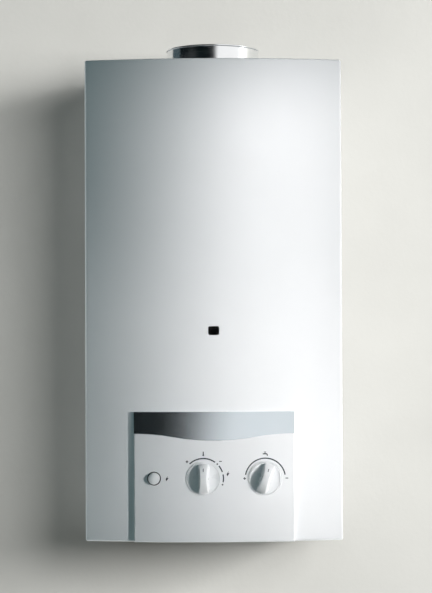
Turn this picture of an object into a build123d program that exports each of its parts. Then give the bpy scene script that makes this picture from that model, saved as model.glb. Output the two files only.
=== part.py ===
"""Wall-hung open-flued gas water heater: millimetres, X to the right, Y into the wall, Z up.

Heights in this file are measured from the lower edge of the casing. keep() lowers every piece by hang_height, so the
origin lies on the wall, midway between the two upper hanging holes.
"""

import os
from math import cos, radians, sin, sqrt

from build123d import *

# Casing: a bent sheet cover with a gently bowed front, open to the wall
casing_width = 310
casing_height = 580
corner_depth = 207
front_bulge = 17
sheet = 0.8
corner_radius = 3
edge_radius = 2.5
rear_gap = 3
rim_width = 12
hang_height = 540
window_width = 13.2
window_height = 10.6
window_radius = 2
window_level = 252.6

# Fascia: a moulded panel round the controls, standing proud of the casing
fascia_width = 192.5
fascia_height = 155.5
fascia_proud = 5.5
fascia_wall = 2
fascia_edge = 1.8
band_end_height = 25.9
band_mid_height = 34.2
band_thickness = 1
band_gap = 0.15
groove_width = 0.7
cutout_half_width = 84
cutout_half_height = 46
peg_radius = 2.5
peg_inset = 6
peg_level = 18
peg_length = 5
screw_gap = 0.2
clip_radius = 6
clip_thickness = 0.6

# Controls: places across the front, all on one level
control_level = 76
power_x = -13
temperature_x = 61
piezo_x = -72
knob_radius = 19.3
knob_length = 15.3
knob_rim = 1.6
knob_rim_radius = 1.1
knob_recess = 0.6
knob_wall = 2.4
grip_height = 6.5
grip_crown = 31
grip_edge = 0.8
grip_waist = 8.3
grip_end = 12.5
knob_standing = 7
knob_clearance = 0.5
button_radius = 7
button_standing = 5.2
button_length = 10.1
button_crown = 16
button_edge = 1.4
button_hole = 8.35
button_travel = 6
button_spare = 1
spindle_radius = 3
running_fit = 0.05
joint_gap = 0.05
hub_radius = 6
spindle_inset = 2
bore_gap = 0.1
temperature_rest = 19

# Flue: collar, hood, skirt and baffle
flue_radius = 56.5
flue_wall = 1.2
flue_rise = 28
flue_depth = 100
bead_radius = 0.9
flue_flange = 8
notch_clearance = 3
hood_width = 240
hood_front = 200
hood_level = 500
hood_shoulder = 24
hood_inset = 26
hood_corner = 12
hood_top_gap = 3
skirt_height = 46
skirt_taper = 20
baffle_depth = 90
baffle_level = 536
baffle_drop = 9
baffle_foot = 12

# Heat exchanger: jacket, tubes, fins and the coil round the jacket
jacket_width = 204
jacket_depth = 148
jacket_front = 195
jacket_level = 262
jacket_top = 470
jacket_wall = 1
jacket_corner = 12
tube_radius = 7
tube_bore = 6
tube_count = 3
tube_pitch = 48
tube_overhang = 3
return_stub = 4
fin_tube_level = 442
fin_count = 8
fin_thickness = 0.8
fin_height = 46
coil_gap = 1
coil_start = 34
coil_pitch = 48
coil_bend = 20
riser_gap = 8
bracket_height = 12
bracket_sheet = 1.5
bracket_width = 170
bracket_inset = (14, 18)
thermostat_x = 62
thermostat_radius = 9
thermostat_boss = 7
thermostat_drop = 12
terminal_spacing = 7
terminal_thickness = 0.8
terminal_side = 6

# Burner: frame, blades, manifold and pilot
frame_level = 214
frame_ledge = 14
frame_sheet = 1
blade_inset = 1
blade_slot = 2
blade_slot_depth = 3
blade_slot_margin = 5
blade_count = 10
blade_pitch = 18
blade_width = 9
blade_top = 238
venturi_height = 14
venturi_elbow = 30
venturi_corner = 8
venturi_slope = 10
venturi_reach = 66
mouth_gap = 4
manifold_side = 20
manifold_level = 193
manifold_overhang = 6
injector_flats = 8
injector_length = 8
feed_radius = 7
feed_nut_flats = 20
feed_nut_height = 8
pilot_window = 44
window_sill = 8
window_lintel = 4
pilot_radius = 4
probe_radius = 3
probe_tip = 2
electrode_wire = 0.9
pilot_foot = 8
pilot_collar = 3
margin_of_shelf = 8
shelf_drop = 5
pilot_spread = 13
pilot_standoff = 9
pilot_head = 4
pilot_below_jacket = 20
probe_below_jacket = 16

# Gas valve and water valve: both are centred on one line along X
valve_depth = 178
gas_valve_left = -48
gas_valve_right = 14
gas_valve_front = 205
gas_valve_rear = 150
gas_valve_height = 56
valve_edge = 4
cavity_radius = 12
cavity_depth = 24
cover_thickness = 5
cover_size = 44
cover_boss = 4
boss_radius = 7
cover_screw_corner = 5
valve_screw_radius = 1.5
valve_screw_flats = 5.5
valve_screw_head = 3
cam_radius = 9
cam_thickness = 4
cam_gap = 0.2
cam_sink = 3
cam_notch = 3
spindle_standing = 24
flat_length = 12
flat_height = 2
plunger_radius = 2.5
plunger_head = 8
head_thickness = 2
plunger_length = 34
disc_radius = 9
disc_thickness = 3
disc_seat = 8
disc_chamber = 11
spring_radius = 6.5
spring_wire = 1.5
chamber_depth = 13
seat_bore = 6
push_rod = 2
magnet_radius = 8
magnet_nose = 5.8
magnet_length = 30
magnet_flats = 17
magnet_bore_depth = 16
magnet_neck = 5
magnet_nut = 9
chamber_radius = 31
chamber_bore = 21
chamber_wall = 2
cover_left = 20
cover_hub = 12
diaphragm_left = 33
diaphragm_thickness = 1.5
half_thickness = 6
plate_radius = 17
plate_thickness = 2
body_right = 126
body_half = 21
body_edge = 5
port_wall = 2
stud_radius = 4
stud_spread = 12
neck_radius = 8
neck_length = 4
spindle_socket = 16
inlet_x = 100
outlet_x = 110
port_radius = 10
port_length = 6
strainer_length = 16
strainer_wall = 0.8
strainer_gap = 0.3
gland_flats = 15
gland_height = 5
bolt_radius = 1.9
bolt_hole = 2.1
bolt_flats = 5
bolt_head = 2.5

# Pipes, unions and the brackets that carry them
pipe_radius = 7.5
pipe_wall = 1
pipe_bend = 20
union_radius = 10.48
union_body = 11.4
union_thread = 16
union_length = 27
union_bore = 6.5
pipe_drop = 15
pipe_depth = 32
pipe_level = 22
hot_x = -100
hot_gap = 25
shelf_depth = 48
shelf_margin = 9.4
shelf_gap = 1
shelf_lip = 22
gusset_height = 12
union_gap = 0.2
shelf_sheet = 2
lock_nut_flats = 27
lock_nut_height = 5
gas_pipe_shift = 12
union_rise = 12
hot_rise = 100
hot_bend = 40

# Back plate and fixings
plate_sheet = 1.2
side_gap = 0.6
seat_gap = 0.2
flange = 20
hanging_inset = 20
hanging_radius = 4.5
fixing_level = 60
cover_screw_radius = 2
cover_screw_head = 4
cover_screw_inset = 9
cover_screw_depth = 12
cover_screw_length = 9
cover_head_height = 2.35
screw_slot = 1
screw_slot_depth = 0.8
clip_nut_side = 8
clip_nut_height = 3

# Controls bracket, piezo igniter and leads
bracket_plane = 210
carrier_sheet = 1.2
carrier_left = -92
carrier_right = 108
carrier_half = 30
carrier_return = 10
piezo_radius = 8.5
piezo_flange = 10.5
piezo_length = 46
piezo_shaft = 4
piezo_flange_height = 2
piezo_socket = 12
piezo_stub = 3
piezo_stub_length = 6
piezo_nut_height = 4
lead_radius = 1.5
capillary_radius = 1.2
pilot_pipe_radius = 2
pilot_port_shift = 20
pilot_port_depth = 10
pilot_bend = 14
lead_side = 14
lead_rise = 30
lead_tail = 36
lead_step = 2
lead_lift = 6
lead_bends = (12, 20, 24, 18, 12)
cable_start = 26
cable_bends = (20, 30, 16)


# Values worked out from the sizes above
front_radius = (casing_width**2 / 4 + front_bulge**2) / (2 * front_bulge)
jacket_middle = -jacket_front + jacket_depth / 2
hood_top = casing_height - sheet - hood_top_gap
plate_width = casing_width - 2 * (sheet + side_gap)
control_line = Vector(0, -valve_depth, control_level)
hanging_x = casing_width / 2 - hanging_inset
cover_screw_x = casing_width / 2 - cover_screw_inset
tube_reach = jacket_width / 2 + tube_overhang
hot_side = tube_reach + hot_gap


def front_y(x, inset=0):
    """Depth of the bowed front at x, moved in by inset."""
    return front_radius - corner_depth - front_bulge - sqrt((front_radius - inset) ** 2 - x**2)


def keep(name, *shapes):
    """Write one sub-part, lowered so that the origin lies between the hanging holes."""
    whole = shapes[0] if len(shapes) == 1 else Compound(children=list(shapes))
    export_step(Pos(0, 0, -hang_height) * whole, f"parts/{name}.step")


def block(x0, x1, y0, y1, z0, z1):
    """Box between limits on each axis."""
    middle = Pos((x0 + x1) / 2, (y0 + y1) / 2, (z0 + z1) / 2)
    return middle * Box(abs(x1 - x0), abs(y1 - y0), abs(z1 - z0))


def prism(profile, start, end):
    """Profile drawn on XY, run straight from one point to another."""
    run = Vector(*end) - Vector(*start)
    across = Vector(1, 0, 0) if abs(run.X) < 0.5 * run.length else Vector(0, 1, 0)
    return extrude(Plane(Vector(*start), x_dir=across, z_dir=run) * profile, run.length)


def rod(radius, start, end):
    """Round bar between two points."""
    return prism(Circle(radius), start, end)


def along_x(radius, y, z, x0, x1):
    return rod(radius, (x0, y, z), (x1, y, z))


def along_y(radius, x, z, y0, y1):
    return rod(radius, (x, y0, z), (x, y1, z))


def upright(radius, x, y, z0, z1):
    return rod(radius, (x, y, z0), (x, y, z1))


def ring(radius, bore, start, end):
    """Round tube between two points."""
    return prism(Circle(radius) - Circle(bore), start, end)


def bend(path_points, bends, radius, bore=0):
    """Round tube along straight runs joined by arcs, with its volume compared with section times length."""
    path = FilletPolyline(*path_points, radius=bends)
    section = Circle(radius) - Circle(bore) if bore else Circle(radius)
    tube = sweep(Plane(path @ 0, z_dir=path % 0) * section, path)
    expected = section.area * path.length
    ratio = tube.volume / expected
    print(f"tube of radius {radius}: volume over section times length {ratio:.4f}, bends {bends}")
    return tube


def plan(inset, rear):
    """Casing outline seen from above, moved in by inset, running back to rear."""
    half = casing_width / 2 - inset
    corner = front_y(half, inset)
    left = Line((-half, rear), (-half, corner))
    front = ThreePointArc((-half, corner), (0, front_y(0, inset)), (half, corner))
    right = Line((half, corner), (half, rear))
    outline = make_face(Curve() + [left, front, right, Line((half, rear), (-half, rear))])
    corners = outline.vertices().group_by(Axis.Y)[0]
    return fillet(corners, max(corner_radius - inset, 0.5)) if inset < corner_radius else outline


def front_band(half_width, low, high, outward, inward):
    """Piece of the bowed front between two offsets from the casing's face."""
    front_end, back_end = front_y(half_width, -outward), front_y(half_width, inward)
    outer = ThreePointArc((-half_width, front_end), (0, front_y(0, -outward)), (half_width, front_end))
    inner = ThreePointArc((-half_width, back_end), (0, front_y(0, inward)), (half_width, back_end))
    ends = [Line(outer @ 0, inner @ 0), Line(outer @ 1, inner @ 1)]
    return extrude(Pos(0, 0, low) * make_face(Curve() + [outer, inner, *ends]), high - low)


def casing_cover():
    outer = extrude(plan(0, -rear_gap), casing_height)
    flat_faces = outer.faces().sort_by(Axis.Z)
    rims = flat_faces[0].edges() + flat_faces[-1].edges()
    outer = fillet(rims.filter_by(lambda e: e.center().Y < -rear_gap - 1), edge_radius)
    inner = extrude(Pos(0, 0, sheet) * plan(sheet, 1), casing_height - 2 * sheet)
    flat_faces = inner.faces().sort_by(Axis.Z)
    rims = flat_faces[0].edges() + flat_faces[-1].edges()
    inner = fillet(rims.filter_by(lambda e: e.center().Y < 0), edge_radius - sheet)
    mouth = extrude(Pos(0, 0, -1) * plan(rim_width, 1), sheet + 2)
    notch_radius = flue_radius + flue_wall + bead_radius + notch_clearance
    notch = Pos(0, -flue_depth, casing_height) * Cylinder(notch_radius, 4 * sheet)
    notch_low, notch_high = casing_height - 2 * sheet, casing_height + sheet
    notch += block(-notch_radius, notch_radius, -flue_depth, 1, notch_low, notch_high)
    window = Pos(0, front_y(0), window_level) * Rot(90, 0, 0) * extrude(
        RectangleRounded(window_width, window_height, window_radius), 2 * front_bulge, both=True
    )
    opening = block(
        -cutout_half_width, cutout_half_width, -corner_depth - 2 * front_bulge, -corner_depth + front_bulge,
        control_level - cutout_half_height, control_level + cutout_half_height,
    )
    cover = outer - inner - mouth - notch - window - opening
    for x, z in fascia_pegs():
        cover -= along_y(peg_radius + screw_gap, x, z, front_y(x) - 5, front_y(x) + 5)
    for x in (-cover_screw_x, cover_screw_x):
        cover -= upright(cover_screw_radius + screw_gap, x, -cover_screw_depth, -1, 2)
    return cover


def fascia_pegs():
    """Places of the four pegs on the fascia's back."""
    x = fascia_width / 2 - peg_inset
    return [(side * x, z) for side in (-1, 1) for z in (peg_level, fascia_height - peg_level)]


def fascia_form(inset, behind):
    """Fascia as a solid block with rounded front edges, moved in by inset, reaching behind its own front face."""
    form = front_band(fascia_width / 2 - inset, inset, fascia_height - inset, fascia_proud - inset, behind)
    front = form.faces().sort_by(Axis.Y)[0]
    return fillet(front.edges(), max(fascia_edge - inset, 0.3))


def above_wave(lowered, depth):
    """Everything in front of the casing that is above the band's wavy lower edge."""
    half = fascia_width / 2
    ends = fascia_height - band_end_height - lowered
    middle = fascia_height - band_mid_height - lowered
    halfway = (ends + middle) / 2
    level = (1, 0)
    first = TangentArc((-half, ends), (-half / 2, halfway), tangent=level)
    second = TangentArc((0, middle), (-half / 2, halfway), tangent=(-1, 0))
    third = TangentArc((0, middle), (half / 2, halfway), tangent=level)
    fourth = TangentArc((half, ends), (half / 2, halfway), tangent=(-1, 0))
    out = 2 * half
    border = [
        Line((-half, ends), (-out, ends)),
        Line((-out, ends), (-out, out)),
        Line((-out, out), (out, out)),
        Line((out, out), (out, ends)),
        Line((out, ends), (half, ends)),
    ]
    region = make_face(Curve() + [first, second, third, fourth, *border])
    return extrude(Pos(0, -corner_depth, 0) * Rot(90, 0, 0) * region, depth)


def control_fascia():
    fascia = fascia_form(0, -seat_gap / 2)
    hollow = front_band(
        fascia_width / 2 - fascia_wall, fascia_wall, fascia_height - fascia_wall, fascia_proud - fascia_wall, 1
    )
    recess_floor = band_thickness - fascia_proud + band_gap
    recess = front_band(fascia_width, -1, fascia_height + 1, 2 * fascia_proud, recess_floor)
    recess = recess & above_wave(groove_width, 2 * front_bulge + 10)
    fascia = fascia - hollow - recess
    for x in (power_x, temperature_x):
        fascia -= through_front(x, knob_radius + knob_clearance)
    fascia -= through_front(piezo_x, button_hole)
    for x, z in fascia_pegs():
        root = front_y(x) - fascia_proud + fascia_wall / 2
        fascia += along_y(peg_radius, x, z, root, front_y(x) + peg_length)
    return fascia


def through_front(x, radius):
    """Round cutter through the front at the level of the controls."""
    return along_y(radius, x, control_level, -corner_depth - 3 * front_bulge, -corner_depth + front_bulge)


def fascia_band():
    skin = fascia_form(0, 0) & front_band(
        fascia_width, -1, fascia_height + 1, 2 * fascia_proud, band_thickness - fascia_proud
    )
    return skin & above_wave(0, 2 * front_bulge + 10)


def fascia_clips():
    """Push-on washers over the fascia's pegs, behind the casing."""
    clips = []
    for x, z in fascia_pegs():
        back = front_y(abs(x) + clip_radius, sheet) + seat_gap / 2
        clip = along_y(clip_radius, x, z, back, back + clip_thickness)
        clips.append(clip - along_y(peg_radius + running_fit, x, z, back - 1, back + 1))
    return clips


def cover_screws():
    screws = []
    y, foot = -cover_screw_depth, -joint_gap - cover_head_height
    for x in (-cover_screw_x, cover_screw_x):
        head = upright(cover_screw_head, x, y, foot, -joint_gap)
        shank = upright(cover_screw_radius, x, y, -1, cover_screw_length)
        half, reach = screw_slot / 2, cover_screw_head + 1
        slot = block(x - half, x + half, y - reach, y + reach, foot - 1, foot + screw_slot_depth)
        screws.append(head + shank - slot)
    return screws


def cover_clip_nuts():
    nuts = []
    y, low = -cover_screw_depth, sheet + seat_gap + plate_sheet + 2 * joint_gap
    half = clip_nut_side / 2
    for x in (-cover_screw_x, cover_screw_x):
        nut = block(x - half, x + half, y - half, y + half, low, low + clip_nut_height)
        nuts.append(nut - upright(cover_screw_radius + running_fit, x, y, 0, cover_screw_length))
    return nuts


def back_plate():
    """Pressed pan against the wall, with flanges on all four sides and the screw slots in its lower flange."""
    low = sheet + seat_gap
    high = casing_height - sheet - seat_gap
    half = plate_width / 2
    middle = (low + high) / 2
    outline = RectangleRounded(2 * half, high - low, corner_radius)
    inner_size = (2 * (half - plate_sheet), high - low - 2 * plate_sheet)
    inner = RectangleRounded(*inner_size, corner_radius - plate_sheet)
    face = Plane((0, 0, middle), x_dir=(1, 0, 0), z_dir=(0, -1, 0))
    pan = extrude(face * outline, flange) - extrude(face.offset(plate_sheet) * inner, flange)
    for x in (-hanging_x, hanging_x):
        for z in (hang_height, fixing_level):
            pan -= along_y(hanging_radius, x, z, -flange / 2, 1)
    slot = cover_screw_radius + screw_gap
    for x in (-cover_screw_x, cover_screw_x):
        pan -= upright(slot, x, -cover_screw_depth, 0, 2 * plate_sheet + low)
        pan -= block(x - slot, x + slot, -flange - 1, -cover_screw_depth, 0, 2 * plate_sheet + low)
    return pan


def duct(width, depth, middle_y, low, high, wall, radius):
    """Upright rectangular duct with rounded corners, open at both ends."""
    outer = RectangleRounded(width, depth, radius)
    inner = RectangleRounded(width - 2 * wall, depth - 2 * wall, radius - wall)
    return extrude(Pos(0, middle_y, low) * (outer - inner), high - low)


def hood_shell(inset):
    """Hood as a block, moved in by inset: upright sides, then shoulders that lean in to the top."""
    rear = -plate_sheet - seat_gap / 2 - inset
    front = -hood_front + inset
    half = hood_width / 2 - inset
    middle = (rear + front) / 2
    depth = rear - front
    top = hood_top - inset
    base = Pos(0, middle, hood_level - inset) * RectangleRounded(2 * half, depth, hood_corner)
    waist = Pos(0, middle, top - hood_shoulder) * RectangleRounded(2 * half, depth, hood_corner)
    crown_size = (2 * (half - hood_inset), depth - 2 * hood_inset)
    crown = Pos(0, middle, top) * RectangleRounded(*crown_size, hood_corner)
    upright = extrude(base, top - hood_shoulder - hood_level + inset)
    return upright + loft([waist, crown])


def flue_hood():
    hood = hood_shell(0) - hood_shell(sheet)
    return hood - upright(flue_radius, 0, -flue_depth, hood_top - hood_shoulder / 2, hood_top + 1)


def flue_collar():
    """Spigot for a round flue pipe: flange on the hood, straight wall and a bead at the rim."""
    low = hood_top + joint_gap
    top = casing_height + flue_rise
    outer = flue_radius + flue_wall
    points = [
        (flue_radius, low),
        (outer + flue_flange, low),
        (outer + flue_flange, low + flue_wall),
        (outer, low + flue_wall),
        (outer, top - 3 * bead_radius),
    ]
    wall = Polyline(*points)
    bead = Polyline(
        (outer, top - 3 * bead_radius),
        (outer + bead_radius, top - 2 * bead_radius),
        (outer + bead_radius, top - bead_radius),
        (outer, top),
        (flue_radius, top),
    )
    closing = Line((flue_radius, top), (flue_radius, low))
    profile = make_face(Curve() + [wall, bead, closing])
    return Pos(0, -flue_depth, 0) * revolve(Rot(90, 0, 0) * profile, Axis.Z)


def hood_skirt():
    """Throat that leads the burnt gas from the fins up into the hood."""
    low = Pos(0, jacket_middle, jacket_top) * RectangleRounded(jacket_width, jacket_depth, jacket_corner)
    high = Pos(0, jacket_middle, jacket_top + skirt_height) * RectangleRounded(
        jacket_width - 2 * skirt_taper, jacket_depth - skirt_taper, jacket_corner
    )
    low_in = Pos(0, jacket_middle, jacket_top) * RectangleRounded(
        jacket_width - 2 * sheet, jacket_depth - 2 * sheet, jacket_corner - sheet
    )
    high_in = Pos(0, jacket_middle, jacket_top + skirt_height) * RectangleRounded(
        jacket_width - 2 * skirt_taper - 2 * sheet, jacket_depth - skirt_taper - 2 * sheet, jacket_corner - sheet
    )
    return loft([low, high]) - loft([low_in, high_in])


def hood_baffle():
    """Deflector strip across the hood, folded down at its middle and welded to the side walls."""
    half = hood_width / 2 - sheet - joint_gap
    high = baffle_level + baffle_foot
    points = [
        (-half, high),
        (-half, baffle_level),
        (-half / 2, baffle_level),
        (0, baffle_level - baffle_drop),
        (half / 2, baffle_level),
        (half, baffle_level),
        (half, high),
    ]
    path = Polyline(*points)
    strip = offset(path, amount=sheet, side=Side.LEFT)
    place = Pos(0, -flue_depth + baffle_depth / 2, 0) * Rot(90, 0, 0)
    return extrude(place * make_face(strip), baffle_depth)


def exchanger_jacket():
    """Copper duct round the flame, with a hole for each fin tube on both sides."""
    levels = (jacket_level, jacket_top)
    jacket = duct(jacket_width, jacket_depth, jacket_middle, *levels, jacket_wall, jacket_corner)
    for y in tube_rows():
        jacket -= along_x(tube_radius, y, fin_tube_level, -jacket_width, jacket_width)
    return jacket


def tube_rows():
    """Depths of the tubes through the fins, front one first."""
    return [jacket_middle + (i - (tube_count - 1) / 2) * tube_pitch for i in range(tube_count)]


def fin_block():
    """Tubes with the copper fins brazed on them."""
    span = jacket_width - 2 * jacket_wall
    depth = jacket_depth - 2 * jacket_wall - 2 * seat_gap
    tubes = []
    for y in tube_rows():
        ends = [(x, y, fin_tube_level) for x in (-tube_reach, tube_reach)]
        tubes.append(ring(tube_radius, tube_bore, *ends))
    pitch = span / (fin_count + 1)
    fin = Box(fin_thickness, depth, fin_height)
    for y in tube_rows():
        fin -= rod(tube_bore, (-1, y - jacket_middle, 0), (1, y - jacket_middle, 0))
    fins = [Pos(-span / 2 + (i + 1) * pitch, jacket_middle, fin_tube_level) * fin for i in range(fin_count)]
    return tubes[0] + tubes[1:] + fins


def exchanger_return_bends():
    """U bends that join the ends of neighbouring fin tubes, on the left and then on the right."""
    rows = tube_rows()
    bends = []
    for i, side in zip(range(tube_count - 1), (-1, 1)):
        start, end = side * (tube_reach + joint_gap), side * (tube_reach + return_stub)
        ends = [along_x(tube_radius, y, fin_tube_level, start, end) for y in rows[i : i + 2]]
        section = Plane((end, rows[i], fin_tube_level), z_dir=(side, 0, 0)) * Circle(tube_radius)
        middle = (end, (rows[i] + rows[i + 1]) / 2, fin_tube_level)
        bends.append(revolve(section, Axis(middle, (0, 0, side)), 180) + ends)
    return bends


def exchanger_coil():
    """One unbroken tube: up from the water valve, twice round the jacket and into the front fin tube."""
    side = jacket_width / 2 + coil_gap + tube_radius
    front = -jacket_front - coil_gap - tube_radius
    rear = -jacket_front + jacket_depth + coil_gap + tube_radius
    first = jacket_level + coil_start
    second, third = first + coil_pitch, first + 2 * coil_pitch
    row = tube_rows()[0]
    riser = side + coil_bend + riser_gap
    points = [
        (outlet_x, -valve_depth, control_level + body_half + port_length),
        (outlet_x, -valve_depth, first),
        (side, rear, first),
        (-side, rear, first),
        (-side, front, first),
        (side, front, second),
        (side, rear, second),
        (-side, rear, second),
        (-side, front, second),
        (side, front, third),
        (riser, row, third + coil_bend / 2),
        (riser, row, fin_tube_level),
        (tube_reach + joint_gap, row, fin_tube_level),
    ]
    least_gap_of_turns(points[1:10])
    return bend(points, [coil_bend] * (len(points) - 2), tube_radius)


def least_gap_of_turns(points):
    """Print the least gap between runs of the coil that are not neighbours."""
    samples = []
    for start, end in zip(points, points[1:]):
        run = Vector(*end) - Vector(*start)
        samples.append([Vector(*start) + run * (i / 20) for i in range(21)])
    gaps = [
        (a - b).length - 2 * tube_radius
        for i, one in enumerate(samples)
        for other in samples[i + 2 :]
        for a in one
        for b in other
    ]
    print(f"least gap between turns of the coil: {min(gaps):.2f}")


def exchanger_brackets():
    """Folded strips from the back plate to the jacket's rear wall."""
    front = -jacket_front + jacket_depth + joint_gap
    rear = -plate_sheet - joint_gap
    half = bracket_width / 2
    brackets = []
    for z in (jacket_level + bracket_inset[0], jacket_top - bracket_inset[1]):
        shelf = block(-half, half, front, rear, z, z + bracket_sheet)
        ear = block(-half, half, front, front + bracket_sheet, z, z + bracket_height)
        foot = block(-half, half, rear - bracket_sheet, rear, z - bracket_height, z + bracket_sheet)
        brackets.append(shelf + ear + foot)
    return brackets


def overheat_thermostat():
    """Disc switch in its clip on the front of the jacket, with two blade terminals."""
    x, z = thermostat_x, fin_tube_level - fin_height / 2 - thermostat_drop
    face = -jacket_front - joint_gap
    step = face - thermostat_radius / 2
    front = face - thermostat_radius
    switch = along_y(thermostat_radius, x, z, step, face) + along_y(thermostat_boss, x, z, front, step)
    half, side = terminal_thickness / 2, terminal_side / 2
    for centre in (x - terminal_spacing / 2, x + terminal_spacing / 2):
        switch += block(centre - half, centre + half, front - terminal_side, front + 1, z - side, z + side)
    return switch


def burner_frame():
    """Open box under the jacket with a ledge at front and back for the blades and a window for the pilot."""
    depth = jacket_depth
    levels = (frame_level, jacket_level - joint_gap)
    frame = duct(jacket_width, depth, jacket_middle, *levels, frame_sheet, jacket_corner)
    reach = jacket_width / 2 - jacket_corner
    front, rear = jacket_middle - depth / 2, jacket_middle + depth / 2
    wall = frame_sheet
    frame += block(-reach, reach, front + wall / 2, front + frame_ledge, frame_level, frame_level + wall)
    frame += block(-reach, reach, rear - frame_ledge, rear - wall / 2, frame_level, frame_level + wall)
    half = pilot_window / 2
    low, high = frame_level + window_sill, jacket_level - window_lintel
    return frame - block(-half, half, front - wall, front + 2 * wall, low, high)


def blade_places():
    return [(i - (blade_count - 1) / 2) * blade_pitch for i in range(blade_count)]


def burner_blades():
    """Folded steel blades: a mouth at the front leads the mixture back, round and up to the slotted top."""
    foot = frame_level + frame_sheet + joint_gap
    front = jacket_middle - jacket_depth / 2 + frame_sheet + blade_inset
    rear = jacket_middle + jacket_depth / 2 - frame_sheet - blade_inset
    mouth = -valve_depth + manifold_side / 2 + injector_length + mouth_gap
    low = manifold_level - venturi_height / 2
    high = manifold_level + venturi_height / 2
    throat = rear - frame_ledge - 2 * blade_inset
    rise = (throat + rear) / 2 - venturi_reach
    elbow, corner = throat - venturi_elbow, venturi_corner
    outline = [
        Line((mouth, high), (mouth, low)),
        Line((mouth, low), (elbow, low)),
        ThreePointArc((elbow, low), (throat - corner, low + corner), (throat, foot)),
        Polyline((throat, foot), (rear, foot), (rear, blade_top), (front, blade_top), (front, foot)),
        Polyline((front, foot), (rise, foot), (rise - venturi_slope, high), (mouth, high)),
    ]
    profile = make_face(Curve() + outline)
    blade = extrude(Plane.YZ * profile, blade_width / 2, both=True)
    half, margin = blade_slot / 2, blade_slot_margin
    blade -= block(-half, half, front + margin, rear - margin, blade_top - blade_slot_depth, blade_top + 1)
    return [Pos(x, 0, 0) * blade for x in blade_places()]


def gas_manifold():
    """Gas bar across the front, fed from the gas valve by an upright pipe."""
    half = blade_places()[-1] + manifold_overhang + injector_flats / 2
    feed_x = gas_feed_x()
    side = manifold_side / 2
    y, z = -valve_depth, manifold_level
    bar = block(-half, half, y - side, y + side, z - side, z + side)
    bar = fillet(bar.edges().filter_by(Axis.X), side / 4)
    foot = control_level + gas_valve_height / 2 + joint_gap
    feed = upright(feed_radius, feed_x, y, foot, z)
    return bar + feed + hexagon(feed_nut_flats, (feed_x, y, foot), (feed_x, y, foot + feed_nut_height))


def hexagon(flats, start, end):
    """Hexagonal bar between two points."""
    return prism(RegularPolygon(flats / 2, 6, major_radius=False), start, end)


def gas_feed_x():
    """The feed stands over the middle of the disc chamber."""
    return disc_seat - chamber_depth / 2


def injectors():
    pieces = []
    face = -valve_depth + manifold_side / 2
    for x in blade_places():
        step = face + injector_length / 2
        seat = hexagon(injector_flats, (x, face + joint_gap, manifold_level), (x, step, manifold_level))
        tip = along_y(injector_flats / 4, x, manifold_level, step, face + injector_length)
        pieces.append(seat + tip)
    return pieces


def pilot_line():
    """Depth of the pilot parts, in front of the burner frame."""
    return -jacket_front - pilot_standoff


def pilot_bracket():
    """Folded plate on the frame's front wall, with a shelf that carries the three pilot parts."""
    face = -jacket_front - joint_gap
    wall = frame_sheet
    half = pilot_spread + margin_of_shelf
    low = frame_level - shelf_drop
    plate = block(-half, half, face - wall, face, low, low + 2 * shelf_drop + 2 * wall)
    shelf = block(-half, half, pilot_line() - margin_of_shelf + wall, face, low, low + wall)
    bracket = plate + shelf
    for x, radius in pilot_parts():
        bracket -= upright(radius + running_fit, x, pilot_line(), low - 1, low + wall + 1)
    return bracket


def pilot_parts():
    """Place across and radius of the pilot burner, thermocouple and electrode."""
    return [(0, pilot_radius), (-pilot_spread, probe_radius), (pilot_spread, probe_radius)]


def pilot_seat():
    """Top of the shelf that the pilot parts stand on."""
    return frame_level - shelf_drop + frame_sheet


def pilot_burner():
    """Jet tube with a collar on the shelf and a hood turned in through the frame's window."""
    y, seat = pilot_line(), pilot_seat()
    high = jacket_level - pilot_below_jacket
    tube = upright(pilot_radius, 0, y, seat - pilot_foot, high - pilot_head / 2)
    collar = upright(1.5 * pilot_radius, 0, y, seat + joint_gap, seat + pilot_collar)
    half, nose = 0.75 * pilot_radius, y + pilot_standoff + frame_ledge / 3
    return tube + collar + block(-half, half, y - pilot_radius / 2, nose, high - pilot_head, high)


def ignition_electrode():
    """Ceramic rod with a collar and a bent metal tip."""
    x, y, seat = pilot_spread, pilot_line(), pilot_seat()
    top = jacket_level - probe_below_jacket
    shoulder = top - 2 * pilot_collar
    ceramic = upright(probe_radius, x, y, seat - pilot_foot, shoulder - 2 * pilot_collar)
    ceramic += upright(probe_radius + 2 * electrode_wire, x, y, seat + joint_gap, seat + pilot_collar)
    wire = upright(electrode_wire, x, y, shoulder - 2 * pilot_collar - 1, shoulder)
    bent_end = (x - pilot_spread / 2, y + pilot_collar, top)
    return ceramic + wire + rod(electrode_wire, (x, y, shoulder), bent_end)


def thermocouple():
    """Stepped probe whose tip stands in the pilot flame."""
    x, y, seat = -pilot_spread, pilot_line(), pilot_seat()
    top = jacket_level - probe_below_jacket
    shoulder = top - 4 * pilot_collar
    probe = upright(probe_radius, x, y, seat - pilot_foot, shoulder)
    probe += upright(1.5 * probe_radius, x, y, seat + joint_gap, seat + pilot_collar)
    return probe + upright(probe_tip, x, y, shoulder, top)


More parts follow.
